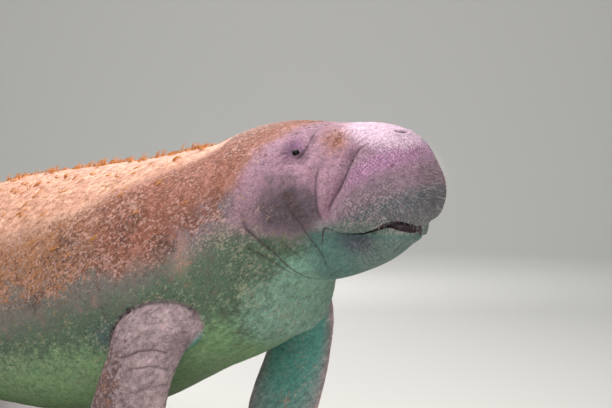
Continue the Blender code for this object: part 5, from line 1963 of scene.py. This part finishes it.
class ManateeBristleSettings(bpy.types.PropertyGroup):
    """Number, sizes and colours of the bristles and hairs."""

    bristle_count: number_property("Bristles", "Number of bristles on the muzzle", 1100)
    bristle_length: length_property("Bristle length", "Length of the longest bristle", 0.017)
    bristle_radius: length_property("Bristle radius", "Radius of a bristle at its root", 0.00020)
    hair_count: number_property("Hairs", "Number of single hairs on the body", 900)
    hair_length: length_property("Hair length", "Length of the longest body hair", 0.020)
    hair_radius: length_property("Hair radius", "Radius of a body hair at its root", 0.00016)
    hair_colour: colour_property("Hair roots", "#6b574c")
    bristle_colour: colour_property("Bristle roots", "#b5a394")
    bristle_tip_colour: colour_property("Bristle tips", "#f0e9e0")


class ManateeAlgaeSettings(bpy.types.PropertyGroup):
    """Number, sizes and colours of the thread algae."""

    tuft_count: number_property("Tufts", "Number of tufts", 900)
    tuft_strands: number_property("Strands", "Strands in each tuft", 5)
    algae_length: length_property("Length", "Length of the longest strand", 0.046)
    algae_radius: length_property("Radius", "Mean radius of a strand at its root", 0.0008)
    algae_root_colour: colour_property("Algae roots", "#a8652f")
    algae_tip_colour: colour_property("Algae tips", "#e8a558")


class ManateeStandSettings(bpy.types.PropertyGroup):
    """Colours of the stand."""

    oak_colour: colour_property("Oak", "#5a3c26")
    oak_dark_colour: colour_property("Dark figure of the oak", "#3b2517")
    oak_pore_colour: colour_property("Pores of the oak", "#20130b")
    steel_colour: colour_property("Steel", "#c2c3c4")
    rubber_colour: colour_property("Rubber", "#1c1b1a")
    rubber_dust_colour: colour_property("Dust on the rubber", "#35322f")


class ManateeStageSettings(bpy.types.PropertyGroup):
    """Floor and lamps."""

    floor_radius: length_property("Floor radius", "Radius of the flat floor", 8.5)
    wall_height: length_property("Wall height", "Height and depth of the curve to the wall", 4.5)
    floor_colour: colour_property("Floor", "#d9d7d2")
    air_colour: colour_property("Air", "#dfe3e6")
    air_strength: number_property("Air light", "Strength of the even light", 0.42)
    overhead_power: number_property("Top lamp", "Power of the overhead lamp in watts", 80.0)
    front_power: number_property("Front lamp", "Power of the front lamp in watts", 118.0)
    rear_power: number_property("Rear lamp", "Power of the rear lamp in watts", 70.0)
    wall_power: number_property("Wall lamp", "Power of the lamp on the wall in watts", 190.0)
    floor_power: number_property("Floor lamp", "Power of the lamp on the floor in watts", 60.0)


class MANATEE_OT_skin(bpy.types.Operator):
    """Build the skin of the body, jaw and flippers."""

    bl_idname = "manatee.skin"
    bl_label = "Build Skin"

    def execute(self, context):
        build_skin(context.scene.manatee_skin)
        return {"FINISHED"}


class MANATEE_OT_eyes(bpy.types.Operator):
    """Build both eyes."""

    bl_idname = "manatee.eyes"
    bl_label = "Build Eyes"

    def execute(self, context):
        build_eyes(context.scene.manatee_eyes)
        return {"FINISHED"}


class MANATEE_OT_nails(bpy.types.Operator):
    """Build the nails of both flippers."""

    bl_idname = "manatee.nails"
    bl_label = "Build Nails"

    def execute(self, context):
        build_nails(context.scene.manatee_nails)
        return {"FINISHED"}


class MANATEE_OT_bristles(bpy.types.Operator):
    """Set the bristles of the muzzle and the hairs of the body."""

    bl_idname = "manatee.bristles"
    bl_label = "Set Bristles"

    def execute(self, context):
        build_bristles(context.scene.manatee_bristles)
        return {"FINISHED"}


class MANATEE_OT_algae(bpy.types.Operator):
    """Grow the thread algae on the back."""

    bl_idname = "manatee.algae"
    bl_label = "Grow Algae"

    def execute(self, context):
        build_algae(context.scene.manatee_algae)
        return {"FINISHED"}


class MANATEE_OT_stand(bpy.types.Operator):
    """Finish the stand's base and rods."""

    bl_idname = "manatee.stand"
    bl_label = "Finish Stand"

    def execute(self, context):
        finish_stand(context.scene.manatee_stand)
        return {"FINISHED"}


class MANATEE_OT_stage(bpy.types.Operator):
    """Set up the floor, the lamps and the camera."""

    bl_idname = "manatee.stage"
    bl_label = "Set Up Stage"

    def execute(self, context):
        build_stage(context.scene.manatee_stage)
        return {"FINISHED"}


OPERATORS = (MANATEE_OT_stage, MANATEE_OT_skin, MANATEE_OT_eyes, MANATEE_OT_nails,
             MANATEE_OT_bristles, MANATEE_OT_algae, MANATEE_OT_stand)
SETTINGS = {
    "manatee_stage": ManateeStageSettings, "manatee_skin": ManateeSkinSettings,
    "manatee_eyes": ManateeEyeSettings, "manatee_nails": ManateeNailSettings,
    "manatee_bristles": ManateeBristleSettings, "manatee_algae": ManateeAlgaeSettings,
    "manatee_stand": ManateeStandSettings,
}


class MANATEE_PT_panel(bpy.types.Panel):
    """Steps of the manatee model in their order, with their settings."""

    bl_label = "Manatee"
    bl_idname = "MANATEE_PT_panel"
    bl_space_type = "VIEW_3D"
    bl_region_type = "UI"
    bl_category = "Manatee"

    def draw(self, context):
        for operator, name in zip(OPERATORS, SETTINGS):
            box = self.layout.box()
            box.operator(operator.bl_idname)
            settings = getattr(context.scene, name)
            for key in SETTINGS[name].__annotations__:
                box.prop(settings, key)


def register():
    """Registers the settings, operators and panel."""
    for name, group in SETTINGS.items():
        bpy.utils.register_class(group)
        setattr(bpy.types.Scene, name, bpy.props.PointerProperty(type=group))
    for cls in (*OPERATORS, MANATEE_PT_panel):
        bpy.utils.register_class(cls)


def unregister():
    """Takes the settings, operators and panel away again."""
    for cls in reversed((*OPERATORS, MANATEE_PT_panel)):
        bpy.utils.unregister_class(cls)
    for name, group in SETTINGS.items():
        delattr(bpy.types.Scene, name)
        bpy.utils.unregister_class(group)


def main():
    """Builds the whole model."""
    register()
    for operator in OPERATORS:
        getattr(bpy.ops.manatee, operator.bl_idname.split(".")[1])()


if __name__ == "__main__":
    main()
